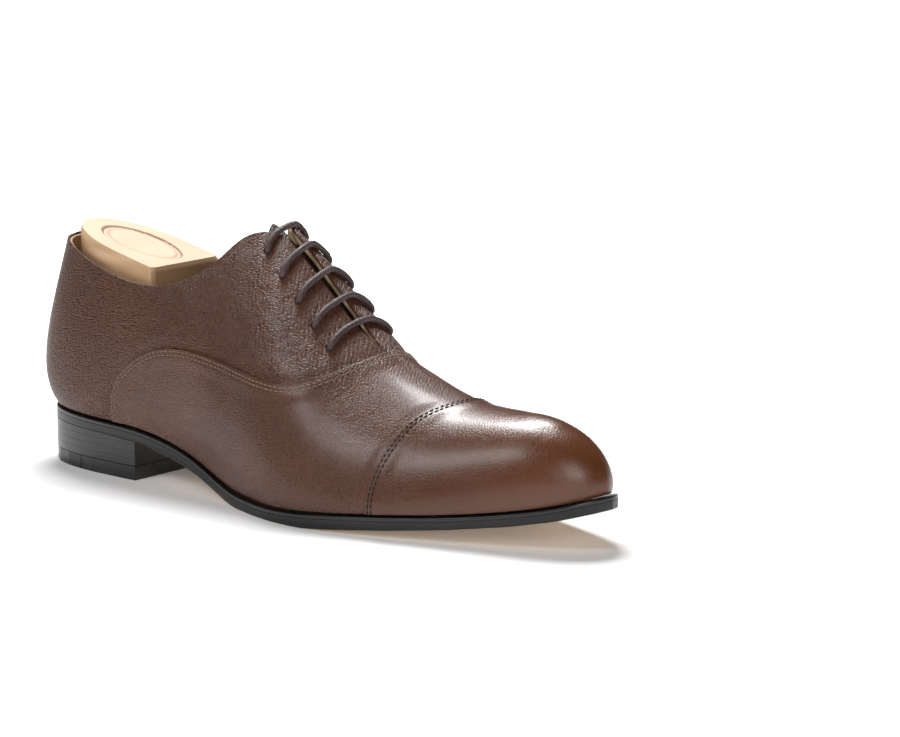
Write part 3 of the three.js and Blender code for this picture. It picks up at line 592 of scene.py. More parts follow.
def vamp_piece(material):
    sheet = Sheet(even(find_along(LATERAL, 13, 0), find_along(LATERAL, 202, 1), S_STEP), both_sides())
    split_at(sheet, lambda s, q, p: wing.signed(p), SEAM_SPLITS, 0, 1)
    split_at(sheet, lambda s, q, p: cap.signed(p), (0,), UNDER_LAP, -1)
    data = sheet.finish()
    top, bottom = over_lap(np.maximum(wing.signed(data["points"]), 0))
    from_cap = cap.signed(data["points"])
    near_cap = 1 - ease(-from_cap, 0, 9)
    bottom = np.minimum(bottom, -LEATHER * near_cap + bottom * (1 - near_cap))
    return leather_piece("vamp_leather", data, top + under_lap(from_cap), bottom, material)


def cap_piece(material):
    s_values = np.concatenate([even(find_along(LATERAL, 160, 0.5), 0.93, S_STEP), even(0.93, 1, 0.0024)[1:]])
    sheet = Sheet(s_values, both_sides())
    split_at(sheet, lambda s, q, p: cap.signed(p), SEAM_SPLITS, 0, 1)
    data = sheet.finish()
    top, bottom = over_lap(np.maximum(cap.signed(data["points"]), 0))
    return leather_piece("toe_cap_leather", data, top, bottom, material)


def quarter_piece(name, side, material):
    sheet = Sheet(even(0, SLIT_S + 0.035, S_STEP), one_side(side))
    split_at(sheet, lambda s, q, p: wing.signed(p), (0,), UNDER_LAP, -1)
    split_at(sheet, lambda s, q, p: hole_distance(p), (1.95, 2.3, 3.0), HOLE_RADIUS, 1)
    split_at(sheet, lambda s, q, p: path_distance(p, TOP_EDGES[side]), EDGE_SPLITS)
    data = sheet.finish()
    points = data["points"]
    lowered = under_lap(wing.signed(points))
    from_top = path_distance(points, TOP_EDGES[side])
    from_hole = hole_distance(points) - HOLE_RADIUS
    top = lowered + rim(from_top, 0.55) + rim(from_hole, 0.35)
    top -= 0.22 * (1 - ease(from_hole, 0.3, 3.2))
    strap = np.abs(points[:, 1]) + np.maximum(points[:, 0] - 4, 0)
    top -= LAP * (1 - ease(strap, STRAP_HALF, STRAP_HALF + 4))
    top += feather_rim(data["q"])
    bottom = -LEATHER - rim(from_top, 0.4) + lowered * 0.6
    return shell_object(name, data, top, np.minimum(bottom, top - 0.12), material, "shoe")


def edge_distances(points):
    return [path_distance(points, TOP_EDGES[side]) for side in (LATERAL, MEDIAL)]


def strap_piece(material):
    sheet = Sheet(even(0, find_along(LATERAL, -20, 0.5), 0.0016), one_side(LATERAL), one_side(MEDIAL))
    split_at(sheet, lambda s, q, p: STRAP_HALF - np.abs(p[:, 1]), (0.15, 0.4, 1.0, 1.6), 0, 1)
    data = sheet.finish()
    inner = STRAP_HALF - np.abs(data["points"][:, 1])
    from_top = np.minimum(*edge_distances(data["points"]))
    top = 0.16 + rim(inner, 0.3) + rim(from_top, 0.5) + groove(inner, (1.3,))
    return leather_piece("back_strap_leather", data, top, np.full(len(top), -0.3), material)


def lining_piece(name, sides, s_from, s_to, material):
    gap = 0.7

    def from_edge(s, q, p):
        lateral, medial = edge_distances(p)
        return np.where(q <= 0, lateral, medial)

    sheet = Sheet(even(s_from, s_to, 0.008), *[one_side(side) for side in sides])
    split_at(sheet, from_edge, (0.9, 1.3, 2.5), gap, 1)
    data = sheet.finish()
    distance = from_edge(data["s"], data["q"], data["points"]) - gap
    deep = np.maximum(ease(distance, 3, 14), ease(data["points"][:, 0], 74, 84))
    top = -1.32 - 1.05 * deep + rim(distance, 0.3)
    bottom = -2.3 - 0.9 * deep - rim(distance, 0.3)
    return shell_object(name, data, top, bottom, material, "shoe")


def stay_piece(name, side, material):
    sheet = Sheet(even(find_along(side, 70, 1), SLIT_S + 0.01, 0.006), one_side(side, 0.6))
    corners = np.array([
        [84, 99], [98, 92], [108, 82], [118, 72], [129, 63], [147, 58], [149.5, 80], [104, 130], [84, 130],
    ], float)
    closed = np.concatenate([corners, corners[:1]])

    def region(s, q, p):
        flat = p[:, [0, 2]]
        return np.where(inside_outline(flat, corners), 1, -1) * flat_distance(flat, closed)

    split_at(sheet, region, (), 0, 1)
    split_at(sheet, lambda s, q, p: path_distance(p, TOP_EDGES[side]), (), 0.35, 1)
    split_at(sheet, lambda s, q, p: hole_distance(p), (), 2.4, 1)
    data = sheet.finish()
    top = np.full(len(data["s"]), -1.32)
    return shell_object(name, data, top, top - 0.95, material, "shoe")


# ------------------------------------------------------------------- stitching
def field_path(s_values, q_values, field, level):
    """points and normals along a level of a field over the skin"""
    sheet = Sheet(s_values, q_values)
    sheet.set_field(field(surface(*sheet.places())[0]))
    places = sheet.path(level)
    sheet.bm.free()
    return surface(places[:, 0], places[:, 1])


def stitch_row(name, points, normals, material, radius, pitch=2.5, length=1.9):
    """thread stitches along a path on the skin, each a short arc that dips in at both ends"""
    step, ring, lift, dip = 0.25, 6, 0.2, 0.16
    joined = even_path(np.concatenate([points, normals], axis=1), step)
    places, ups = joined[:, :3], unit(joined[:, 3:])
    stride = pitch / step
    verts, faces = [], []
    stations = [(-1, 0.45), (-0.86, 0.8), (-0.5, 1), (0, 1.05), (0.5, 1), (0.86, 0.8), (1, 0.45)]
    at = stride / 2
    while at < len(places) - stride / 2:
        k = int(at)
        middle, up = places[k], ups[k]
        along = unit(places[min(k + 3, len(places) - 1)] - places[max(k - 3, 0)])
        side = unit(np.cross(up, along))
        first = len(verts)
        wobble = random.uniform(-0.04, 0.04)
        for t, swell in stations:
            centre = middle + along * (t * length / 2) + up * (lift * (1 - t * t) - dip * t * t + wobble)
            for j in range(ring):
                angle = 2 * math.pi * j / ring
                verts.append(centre + radius * swell * (side * math.cos(angle) + up * math.sin(angle) * 0.8))
        for a in range(first, first + (len(stations) - 1) * ring, ring):
            for j in range(ring):
                following = (j + 1) % ring
                faces.append([a + j, a + following, a + following + ring, a + j + ring])
        faces.append([first + j for j in reversed(range(ring))])
        faces.append([len(verts) - ring + j for j in range(ring)])
        at += stride
    return make_object(name, verts, faces, material, "shoe", crease=80, merge=0.0001)


# --------------------------------------------------------------------- the lace
def catmull_rom(points, step):
    """centripetal Catmull-Rom curve"""
    points = np.asarray(points, float)
    ends = [2 * points[0] - points[1], 2 * points[-1] - points[-2]]
    p = np.concatenate([[ends[0]], points, [ends[1]]])
    curve = []
    for i in range(1, len(p) - 2):
        p0, p1, p2, p3 = p[i - 1:i + 3]
        t0 = 0.0
        t1 = t0 + math.sqrt(np.linalg.norm(p1 - p0))
        t2 = t1 + math.sqrt(np.linalg.norm(p2 - p1))
        t3 = t2 + math.sqrt(np.linalg.norm(p3 - p2))
        t = np.linspace(t1, t2, 16, endpoint=False)[:, None]
        a1 = (t1 - t) / (t1 - t0) * p0 + (t - t0) / (t1 - t0) * p1
        a2 = (t2 - t) / (t2 - t1) * p1 + (t - t1) / (t2 - t1) * p2
        a3 = (t3 - t) / (t3 - t2) * p2 + (t - t2) / (t3 - t2) * p3
        b1 = (t2 - t) / (t2 - t0) * a1 + (t - t0) / (t2 - t0) * a2
        b2 = (t3 - t) / (t3 - t1) * a2 + (t - t1) / (t3 - t1) * a3
        curve.append((t2 - t) / (t2 - t1) * b1 + (t - t1) / (t2 - t1) * b2)
    curve.append(points[-1:])
    return even_path(np.concatenate(curve), step)


def one(side, s, v, depth=0.0):
    at = np.array([s]), np.array([v])
    return skin_point(side, *at)[0] - skin_normal(side, *at)[0] * depth


LACE_UNDER = 5.0
LACE_OVER = 1.35
LACE_INSIDE = 5.8
LACE_STEP = 0.42
LACE_RADIUS = 1.3
BRAID_PITCH = 5.2


def lace_points():
    points = []

    def at(hole, depth):
        return hole["point"] - hole["normal"] * depth

    def towards(hole, target, distance, depth):
        way = target - hole["point"]
        way = unit(way - hole["normal"] * (way @ hole["normal"]))
        return at(hole, depth) + way * distance

    def over(hole, share):
        return one(hole["side"], hole["s"], hole["v"] + (1 - hole["v"]) * share, -LACE_OVER)

    first = HOLE_LIST[0]
    start = first["s"] + 0.012
    points += [one(LATERAL, start, v, LACE_INSIDE) for v in (0.52, 0.6, 0.68)]
    points.append(towards(first, one(LATERAL, start, 0.7, LACE_INSIDE), 2.2, LACE_UNDER))
    for row in range(len(HOLES)):
        pair = HOLE_LIST[2 * row:2 * row + 2]
        enter, leave = pair if row % 2 == 0 else pair[::-1]
        tops = [one(hole["side"], hole["s"], 1) for hole in pair]
        crown = unit(sum(skin_normal(h["side"], np.array([h["s"]]), np.array([0.95]))[0] for h in pair))
        points += [at(enter, 3), at(enter, 1.2), towards(enter, leave["point"], 0.5, -0.4)]
        points += [over(enter, share) for share in (0.22, 0.5, 0.8)]
        points.append((tops[0] + tops[1]) / 2 + crown * (LACE_OVER + 0.1))
        points += [over(leave, share) for share in (0.8, 0.5, 0.22)]
        points += [towards(leave, enter["point"], 0.5, -0.4), at(leave, 1.2), at(leave, 3)]
        if row < len(HOLES) - 1:
            following = HOLE_LIST[2 * (row + 1) + (0 if leave["side"] is LATERAL else 1)]
            points.append(towards(leave, following["point"], 2.2, LACE_UNDER))
            points.append(towards(following, leave["point"], 2.2, LACE_UNDER))
    tail = [one(leave["side"], leave["s"] - d, 0.68, LACE_INSIDE) for d in (0.03, 0.055, 0.08, 0.105)]
    return points + [towards(leave, tail[0], 2.2, LACE_UNDER)] + tail


def sides_along(path):
    """two crosswise directions along a path, which turn as little as possible"""
    tangents = unit(np.gradient(path, axis=0))
    side = unit(np.cross(tangents[0], [0.3, 0.2, 1.0]))
    sides = []
    for t in tangents:
        side = unit(side - t * (side @ t))
        sides.append(side)
    return np.array(sides), np.cross(tangents, sides)


def lace_piece(material):
    path = catmull_rom(lace_points(), 0.4)
    for _ in range(6):
        path[1:-1] = (path[:-2] + 2 * path[1:-1] + path[2:]) / 4
    path = even_path(path, LACE_STEP)
    sides, ups = sides_along(path)
    angles = 2 * np.pi * np.arange(20) / 20
    run = np.arange(len(path)) * LACE_STEP
    turns = 2 * np.pi * run / BRAID_PITCH
    left = np.cos(4 * angles[None, :] + 2 * turns[:, None])
    right = np.cos(4 * angles[None, :] - 2 * turns[:, None])
    radius = LACE_RADIUS + 0.1 * np.maximum(left, right)
    radius *= (1 + 0.03 * np.sin(run / 3.1) + 0.02 * np.sin(run / 1.3 + 1))[:, None]
    rings = path[:, None] + radius[..., None] * (
        np.cos(angles)[None, :, None] * sides[:, None] + np.sin(angles)[None, :, None] * ups[:, None]
    )
    return tube_object("waxed_lace", rings, material, "shoe")


def tube_object(name, rings, material, body, **settings):
    """closed body through a run of rings"""
    rows, around = rings.shape[:2]
    faces = []
    for a in range(0, (rows - 1) * around, around):
        for j in range(around):
            k = (j + 1) % around
            faces.append([a + j, a + k, a + k + around, a + j + around])
    faces.append(list(range(around))[::-1])
    faces.append([(rows - 1) * around + j for j in range(around)])
    return make_object(name, rings.reshape(-1, 3), faces, material, body, **settings)


# ------------------------------------------------------------------- the tongue
def tongue_piece(material):
    base = find_along(LATERAL, 160, 1)
    top_s = CORNER_S + 0.006
    across = [(LATERAL, t) for t in np.linspace(0, 1, 14)] + [(MEDIAL, t) for t in np.linspace(1, 0, 14)]
    rows = np.linspace(0, 12, 61)
    tab_row = 8
    past = np.maximum(rows - tab_row, 0)
    narrowing = np.interp(past, [0, 1, 2, 3, 4], [1, 0.96, 0.88, 0.72, 0.42])[:, None]
    reach = np.interp(past, [0, 1, 2, 3, 4], [0, 3, 5.5, 8, 9.5])[:, None]
    layers = []
    for depth in (7.0, 8.2):
        grid = np.empty((len(rows), len(across), 3))
        for j, (side, step) in enumerate(across):
            inner = np.minimum(rows, tab_row) / tab_row
            s = base + (top_s - base) * inner
            v = (0.86 - 0.06 * inner) * (1 - step) + step
            raised = 3.3 * math.exp(-(((1 - step) / 0.42) ** 2)) * ease(rows, 0.6, 2.0)
            grid[:, j] = skin_point(side, s, v) - skin_normal(side, s, v) * (depth - raised)[:, None]
        grid[:, :, 1] = MIDLINE + (grid[:, :, 1] - MIDLINE) * narrowing
        grid[:, :, 0] -= 0.76 * reach
        grid[:, :, 2] += 0.62 * reach
        for _ in range(5):
            grid[:, 1:-1] = (grid[:, :-2] + 2 * grid[:, 1:-1] + grid[:, 2:]) / 4
            grid[1:-1] = (grid[:-2] + 2 * grid[1:-1] + grid[2:]) / 4
        layers.append(grid)
    return slab_object("tongue_leather", *layers, material, "tongue_flap")


def slab_object(name, top, bottom, material, body):
    """closed body between two grids of the same size"""
    rows, columns = top.shape[:2]
    count = rows * columns
    index = np.arange(count).reshape(rows, columns)
    faces = []
    corners = index[:-1, :-1], index[:-1, 1:], index[1:, 1:], index[1:, :-1]
    for face in zip(*(corner.ravel() for corner in corners)):
        faces += [list(face), [v + count for v in reversed(face)]]
    border = [*index[0], *index[1:, -1], *index[-1, -2::-1], *index[-2:0:-1, 0]]
    for a, b in zip(border, border[1:] + border[:1]):
        faces.append([a, b, b + count, a + count])
    points = np.concatenate([top.reshape(-1, 3), bottom.reshape(-1, 3)])
    return make_object(name, points, faces, material, body)


# -------------------------------------------------------------- sole and heel
WELT_WIDTH = 8
LIFT = 3.2
HEEL_FLOOR_Z = 6.3
_margin = natural_spline(KNOTS, SOLE_MARGIN)


def edge_margin(s):
    return _margin(s)[:, 0]


def level(z):
    return lambda x: np.full_like(np.asarray(x, float), z)


def feather_less(drop):
    return lambda x: feather_z(x) - drop


def outline(side, s, offset):
    e = 0.004
    along = unit(side.row(np.minimum(s + e, 1))[:, 1:3] - side.row(np.maximum(s - e, 0))[:, 1:3])
    out = np.stack([along[:, 1], -along[:, 0]], 1) * -side.sign
    out[s < 1e-6] = (-1, 0)
    out[s > 1 - 1e-6] = (1, 0)
    return side.row(s)[:, 1:3] + out * np.reshape(offset, (-1, 1))


def wall_column(side, s, inset, drop, at_top, top_of, bottom_of):
    """points round the plan, in from the sole's edge and in from the top or the bottom"""
    plan = outline(side, s, np.full(len(s), inset, float) if inset < 0 else edge_margin(s) - inset)
    height = top_of(plan[:, 0]) - drop if at_top else bottom_of(plan[:, 0]) + drop
    return np.column_stack([plan, height])


def plate_object(name, stops, top_of, bottom_of, material, rows=150, chamfer=(0.35, 0.3), flat_end=False):
    """plate over the plan, with softened edges, from the heel to a stop on each side"""
    t = (1 - np.cos(np.pi * np.linspace(0, 1, rows))) / 2
    if flat_end:
        t = np.sin(np.pi / 2 * np.linspace(0, 1, rows)) ** 1.4
    across = np.linspace(0, 1, 13)
    top_in, bottom_in = chamfer
    wall = [(top_in, 0, True), (0.09, 0.3 * top_in, True), (0, top_in, True),
            (0, bottom_in, False), (0.09, 0.3 * bottom_in, False), (bottom_in, 0, False)]
    low, high = [
        [wall_column(side, np.minimum(t * stop, 1), *place, top_of, bottom_of) for place in wall]
        for side, stop in zip((LATERAL, MEDIAL), stops)
    ]

    def between(row, shares, height_of):
        plans = [low[row][:, :2] * (1 - w) + high[row][:, :2] * w for w in shares]
        return [np.column_stack([plan, height_of(plan[:, 0])]) for plan in plans]

    ring = between(0, across[::-1], top_of) + low[1:-1] + between(-1, across, bottom_of) + high[-2:0:-1]
    rings = np.stack(ring, axis=1)
    if flat_end:
        rings[-1, :, 0] = HEEL_BREAST_X
    return tube_object(name, rings, material, "shoe", merge=0.003, crease=50)


def ring_object(name, s_from, s_to, top_of, bottom_of, material, heel_first):
    """strip round the plan outline: round the toe, or round the heel"""
    s = np.linspace(s_from, s_to, 170)
    order = [(LATERAL, s[::-1]), (MEDIAL, s[1:])] if heel_first else [(LATERAL, s), (MEDIAL, s[-2::-1])]
    profile = [(-WELT_WIDTH, 0, True), (0.5, 0, True), (0.14, 0.14, True), (0, 0.45, True),
               (0, 0.06, False), (0.06, 0, False), (-WELT_WIDTH, 0, False)]
    rows = [
        np.stack([wall_column(side, places, *place, top_of, bottom_of) for place in profile], axis=1)
        for side, places in order
    ]
    return tube_object(name, np.concatenate(rows), material, "shoe", merge=0.01, crease=50)


# --------------------------------------------------------------- the tree block
BLOCK_FRONT_X = 36.0
BLOCK_BACK_X = -23.5
BLOCK_FLOOR_Z = 28.5
OVAL = (9.0, 21.3, 12.0)


def block_top(x):
    return 100.2 - 0.234 * x


def heel_block_piece(material):
    edge_height, steps = 0.972, 64
    heights = np.array([0, 0.03, 0.28, 0.55, 0.74, 0.86, edge_height])
    widths = np.array([15.5, 16.8, 19.6, 19.4, 19.2, 21.3, 21.7])
    backs = np.array([0, 0, 0, 0.5, 0.9, 0.6, 0.6])
    fine = np.concatenate([np.linspace(0, edge_height, 70), [0.98, 0.986, 0.993, 1.0]])
    table = natural_spline(heights, np.stack([widths, backs], 1))(np.minimum(fine, edge_height))
    chamfer = np.clip((fine - edge_height) / (1 - edge_height), 0, 1)
    t = (1 - np.cos(np.pi * np.linspace(0, 1, 121))) / 2
    round_back = np.sqrt(1 - np.maximum(0, 1 - t / 0.63) ** 2)
    round_front = 1 - 0.1 * np.maximum(0, (t - 0.97) / 0.03) ** 2
    length = BLOCK_FRONT_X - BLOCK_BACK_X
    rings = []
    for h, cut, (width, back) in zip(fine, chamfer, table):
        back += 0.8 * cut
        short = 0.9 * cut + 0.9 * ease(1 - h, 0.985, 1.0)
        x = BLOCK_BACK_X + back + t * (length - back - short)
        y = (width - 0.9 * cut) * round_back * round_front
        z = BLOCK_FLOOR_Z + h * (block_top(x) - BLOCK_FLOOR_Z)
        front = np.linspace(-y[-1], y[-1], steps + 1)[1:-1]
        rings.append(np.concatenate([
            np.column_stack([x, -y, z]),
            np.column_stack([np.full(steps - 1, x[-1]), front, np.full(steps - 1, z[-1])]),
            np.column_stack([x, y, z])[-1:0:-1],
        ]))
    rows, around, half = len(rings), len(rings[0]), len(t)
    points = list(rings)
    faces = []
    for a in range(0, (rows - 1) * around, around):
        for j in range(around):
            k = (j + 1) % around
            faces.append([a + j, a + k, a + k + around, a + j + around])
    count = rows * around
    across = np.linspace(0, 1, steps + 1)[None, :, None]
    for ring, is_top in ((rings[-1], True), (rings[0], False)):
        lateral, medial = ring[:half], np.concatenate([ring[:1], ring[half + steps - 1:][::-1]])
        grid = lateral[:, None] * (1 - across) + medial[:, None] * across
        if is_top:
            centre, half_length, half_width = OVAL
            r = np.hypot((grid[..., 0] - centre) / half_length, grid[..., 1] / half_width)
            grid[..., 2] += 0.3 * np.exp(-(((r - 0.86) / 0.035) ** 2)) - 0.85 * (1 - ease(r, 0.965, 1.02))
        points.append(grid.reshape(-1, 3))
        for i in range(half - 1):
            for a in range(count + i * (steps + 1), count + i * (steps + 1) + steps):
                faces.append([a, a + 1, a + steps + 2, a + steps + 1])
        count += half * (steps + 1)
    return make_object("tree_heel_block_wood", np.concatenate(points), faces, material, "tree_heel", crease=30)


# ------------------------------------------------------------------- materials
class Shader:
    """a node material with short ways to add and join its nodes"""

    def __init__(self, name):
        self.material = bpy.data.materials.new(name)
        self.material.use_nodes = True
        self.tree = self.material.node_tree
        self.surface = self.tree.nodes["Principled BSDF"]
        coordinates = self.node("ShaderNodeTexCoord")
        self.place = coordinates.outputs["Object"]

    def node(self, kind, inputs=None, **settings):
        made = self.tree.nodes.new(kind)
        for key, value in settings.items():
            setattr(made, key, value)
        for key, value in (inputs or {}).items():
            if isinstance(value, bpy.types.NodeSocket):
                self.tree.links.new(value, made.inputs[key])
            else:
                made.inputs[key].default_value = value
        return made

    def math(self, operation, a, b=0.0, c=0.0, clamp=False):
        made = self.node("ShaderNodeMath", {0: a, 1: b, 2: c}, operation=operation, use_clamp=clamp)
        return made.outputs[0]

    def scaled(self, cell, source=None):
        """coordinates in which one cell of the given size in millimetres is one unit"""
        scale = [1 / (c * MM) for c in cell]
        return self.node("ShaderNodeMapping", {"Vector": source or self.place, "Scale": scale}).outputs[0]

    def noise(self, cell, detail=3.0, roughness=0.5, source=None, color=False):
        made = self.node("ShaderNodeTexNoise", {
            "Vector": self.scaled(cell, source), "Scale": 1.0, "Detail": detail, "Roughness": roughness,
        })
        return made.outputs["Color" if color else "Fac"]

    def times(self, a, b):
        return self.math("MULTIPLY", a, b)

    def span(self, value, low, high, to_low=0.0, to_high=1.0):
        """an eased step from one value to another"""
        made = self.node("ShaderNodeMapRange", {
            "Value": value, "From Min": low, "From Max": high, "To Min": to_low, "To Max": to_high,
        }, interpolation_type="SMOOTHSTEP")
        return made.outputs[0]

    def mix(self, factor, a, b, blend="MIX"):
        made = self.node("ShaderNodeMix", data_type="RGBA", blend_type=blend)
        for socket, value in ((made.inputs[0], factor), (made.inputs[6], a), (made.inputs[7], b)):
            if isinstance(value, bpy.types.NodeSocket):
                self.tree.links.new(value, socket)
            else:
                socket.default_value = value if isinstance(value, float) else tuple(value) + (1.0,)
        return made.outputs[2]

    def bump(self, height, distance, strength=1.0):
        """distance is the height of the relief in millimetres"""
        inputs = {"Height": height, "Distance": distance * MM, "Strength": strength}
        return self.node("ShaderNodeBump", inputs).outputs[0]

    def axis(self, name, source=None):
        return self.node("ShaderNodeSeparateXYZ", {0: source or self.place}).outputs[name]

    def facing(self, name):
        """how far the surface faces along an axis"""
        return self.axis(name, self.node("ShaderNodeNewGeometry").outputs["Normal"])

    def set(self, **values):
        for key, value in values.items():
            socket = self.surface.inputs[key.replace("_", " ")]
            if isinstance(value, bpy.types.NodeSocket):
                self.tree.links.new(value, socket)
            else:
                socket.default_value = value if not isinstance(value, tuple) else value + (1.0,)
        return self.material


def srgb(r, g, b):
    return tuple(((c / 255 + 0.055) / 1.055) ** 2.4 if c > 10 else c / 255 / 12.92 for c in (r, g, b))


TOE_CHANGE = (0.165, 0.205)


def grained_leather(name, cell, depth, dark, light, fine_front=False, rough=0.4):
    """printed-grain calf: rows of soft cells parted by fine creases, over a dye that painted shade darkens in
    the creases
    """
    m = Shader(name)
    x = m.axis("X")
    drift = m.noise((7, 7, 5), 2.0, 0.5)
    along = m.math("MULTIPLY_ADD", drift, 0.002, m.math("MULTIPLY_ADD", m.axis("Y"), 0.6, x))
    around = m.math("SUBTRACT", m.axis("Z"), m.math("ABSOLUTE", m.axis("Y")))
    around = m.math("MULTIPLY_ADD", drift, 0.0045, around)
    where = m.node("ShaderNodeCombineXYZ", {0: along, 1: around, 2: 0.0}).outputs[0]
    cells = m.node("ShaderNodeTexVoronoi", {
        "Vector": m.scaled(cell, where), "Scale": 1.0, "Randomness": 0.6,
    }, feature="F1", voronoi_dimensions="2D").outputs["Distance"]
    pebble = m.span(m.times(cells, cells), 0.0, 0.5, 1.0, 0.0)
    crease = m.noise((cell[0] * 1.5, cell[1] * 1.5, 1.0), 2.0, 0.5, where)
    height = m.math("MULTIPLY_ADD", crease, 0.25, pebble)
    cloud = m.noise((38, 38, 30), 3.0, 0.55)
    mottle = m.noise((6, 6, 4), 3.0, 0.6)
    tone = m.math("MULTIPLY_ADD", mottle, 0.35, m.math("MULTIPLY_ADD", cloud, 0.9, -0.12), clamp=True)
    # painted shade: the dye is darkened in the creases between the cells, less so towards the toe
    lowered = m.span(pebble, 0.05, 0.55, 0.35, 1.0)
    painted_crease_shade = m.node("ShaderNodeCombineColor", {0: lowered, 1: lowered, 2: lowered}).outputs[0]
    relief = m.span(x, *TOE_CHANGE, 1.0, 0.45) if fine_front else 1.0
    painted_shade_amount = m.span(x, *TOE_CHANGE, 0.85, 0.3) if fine_front else 0.9
    colour = m.mix(painted_shade_amount, m.mix(tone, dark, light), painted_crease_shade, "MULTIPLY")
    if fine_front:
        colour = m.mix(m.times(m.span(x, 0.165, 0.262), 0.5), colour, AMBER)
    wear = m.math("ADD", cloud, m.times(pebble, -0.25))
    roughness = m.span(wear, 0.1, 0.9, rough + 0.1, rough - 0.05)
    m.set(Base_Color=colour, Normal=m.bump(height, depth, relief), Roughness=roughness)
    return m.set(Specular_IOR_Level=0.5, Coat_Weight=0.3 if fine_front else 0.1, Coat_Roughness=0.25)


AMBER = srgb(108, 60, 30)
LEATHER_DARK = srgb(66, 33, 18)
LEATHER_LIGHT = srgb(100, 55, 28)


def plain_leather(name, colour, rough):
    m = Shader(name)
    cell, depth, spread = 0.8, 0.06, 0.16
    cloud = m.noise((18, 18, 18), 4.0, 0.6)
    grain = m.noise((cell, cell, cell), 3.0, 0.6)
    dark = tuple(c * (1 - spread) for c in colour)
    light = tuple(min(c * (1 + spread), 1) for c in colour)
    mixed = m.mix(m.math("MULTIPLY_ADD", grain, 0.4, m.times(cloud, 0.6)), dark, light)
    roughness = m.span(cloud, 0.2, 0.8, rough + 0.05, rough - 0.05)
    return m.set(Base_Color=mixed, Normal=m.bump(grain, depth), Roughness=roughness)


def black_wax(m):
    """black with a bluish bloom, and its roughness"""
    speck = m.noise((0.55, 0.55, 0.4), 3.0, 0.7)
    bloom = m.noise((16, 16, 6), 3.0, 0.55)
    dusty = m.times(m.span(speck, 0.5, 0.75), m.span(bloom, 0.35, 0.7))
    colour = m.mix(m.times(dusty, 0.5), srgb(10, 10, 11), srgb(52, 53, 60))
    return speck, colour, m.span(speck, 0.3, 0.7, 0.28, 0.46)


def black_edge(name):
    """dressed edge: black wax over fine vertical scuffs"""
    m = Shader(name)
    speck, colour, rough = black_wax(m)
    scuff = m.noise((0.9, 0.9, 5.0), 4.0, 0.65)
    height = m.math("MULTIPLY_ADD", scuff, 0.6, m.times(speck, 0.5))
    m.set(Base_Color=colour, Normal=m.bump(height, 0.05), Roughness=rough)
    return m.set(Coat_Weight=0.3, Coat_Roughness=0.2)


def outsole_finish(name):
    """the edge is blackened, and the underside ahead of the heel keeps the tan of the leather"""
    m = Shader(name)
    speck, black, rough = black_wax(m)
    under = m.times(m.span(m.facing("Z"), -0.8, -0.45, 1.0, 0.0), m.span(m.axis("X"), 0.036, 0.05))
    fibre = m.noise((9, 2.2, 9), 4.0, 0.6)
    colour = m.mix(under, black, m.mix(fibre, srgb(196, 160, 116), srgb(222, 192, 150)))
    rough = m.math("MULTIPLY_ADD", under, 0.25, rough)
    return m.set(Base_Color=colour, Normal=m.bump(m.math("ADD", speck, fibre), 0.04), Roughness=rough)


def wood(name, stamped=False):
    """planed beech, paler on top from a painted highlight; the heel block has painted shade on its front,
    end-grain face and is darker round its stamped oval
    """
    m = Shader(name)
    bent = m.noise((60, 22, 22), 2.0, 0.5, color=True)
    shift = m.node("ShaderNodeVectorMath", {0: bent, "Scale": 0.012}, operation="SCALE").outputs[0]
    where = m.node("ShaderNodeVectorMath", {0: m.place, 1: shift}, operation="ADD").outputs[0]
    rings = m.node("ShaderNodeTexWave", {
        "Vector": m.scaled((90, 7.5, 9), where), "Scale": 0.35, "Distortion": 1.6, "Detail": 2.0,
    }, wave_type="RINGS", rings_direction="X").outputs["Fac"]
    fibre = m.noise((14, 0.5, 0.5), 3.0, 0.65)
    pore = m.noise((5, 0.28, 0.28), 2.0, 0.6)
    tone = m.math("MULTIPLY_ADD", rings, 0.45, m.times(fibre, 0.55))
    colour = m.mix(tone, srgb(186, 146, 108), srgb(220, 186, 148))
    colour = m.mix(m.times(m.span(pore, 0.62, 0.8), 0.35), colour, srgb(160, 120, 82))
    up = m.facing("Z")
    # painted highlight: faces turned upward are mixed towards a pale cream
    colour = m.mix(m.times(m.span(up, 0.4, 0.9), 0.62), colour, srgb(226, 206, 180))
    if stamped:
        centre, half_length, half_width = (size * MM for size in OVAL)
        # painted shade: the front, end-grain face of the heel block is darkened
        colour = m.mix(m.times(m.span(m.facing("X"), 0.6, 0.95), 0.5), colour, srgb(150, 116, 88))
        x = m.math("DIVIDE", m.math("SUBTRACT", m.axis("X"), centre), half_length)
        y = m.math("DIVIDE", m.axis("Y"), half_width)
        oval = m.math("SQRT", m.math("ADD", m.times(x, x), m.times(y, y)))
        ring = m.times(m.span(oval, 0.94, 0.985), m.span(oval, 1.0, 1.05, 1.0, 0.0))
        inner = m.times(m.span(oval, 0.80, 0.84), m.span(oval, 0.88, 0.92, 1.0, 0.0))
        mark = m.times(m.math("MAXIMUM", ring, m.times(inner, 0.45)), m.span(up, 0.3, 0.8))
        colour = m.mix(m.times(mark, 0.8), colour, srgb(140, 96, 62))
    height = m.math("MULTIPLY_ADD", fibre, 0.6, m.times(pore, 0.5))
    return m.set(Base_Color=colour, Normal=m.bump(height, 0.05), Roughness=m.span(fibre, 0.3, 0.7, 0.5, 0.62))


def thread(name, colour):
    m = Shader(name)
    fibre = m.noise((0.5, 0.5, 0.16), 2.0, 0.6)
    mixed = m.mix(fibre, tuple(c * 0.65 for c in colour), colour)
    return m.set(Base_Color=mixed, Normal=m.bump(fibre, 0.05), Roughness=m.span(fibre, 0.2, 0.8, 0.6, 0.5))


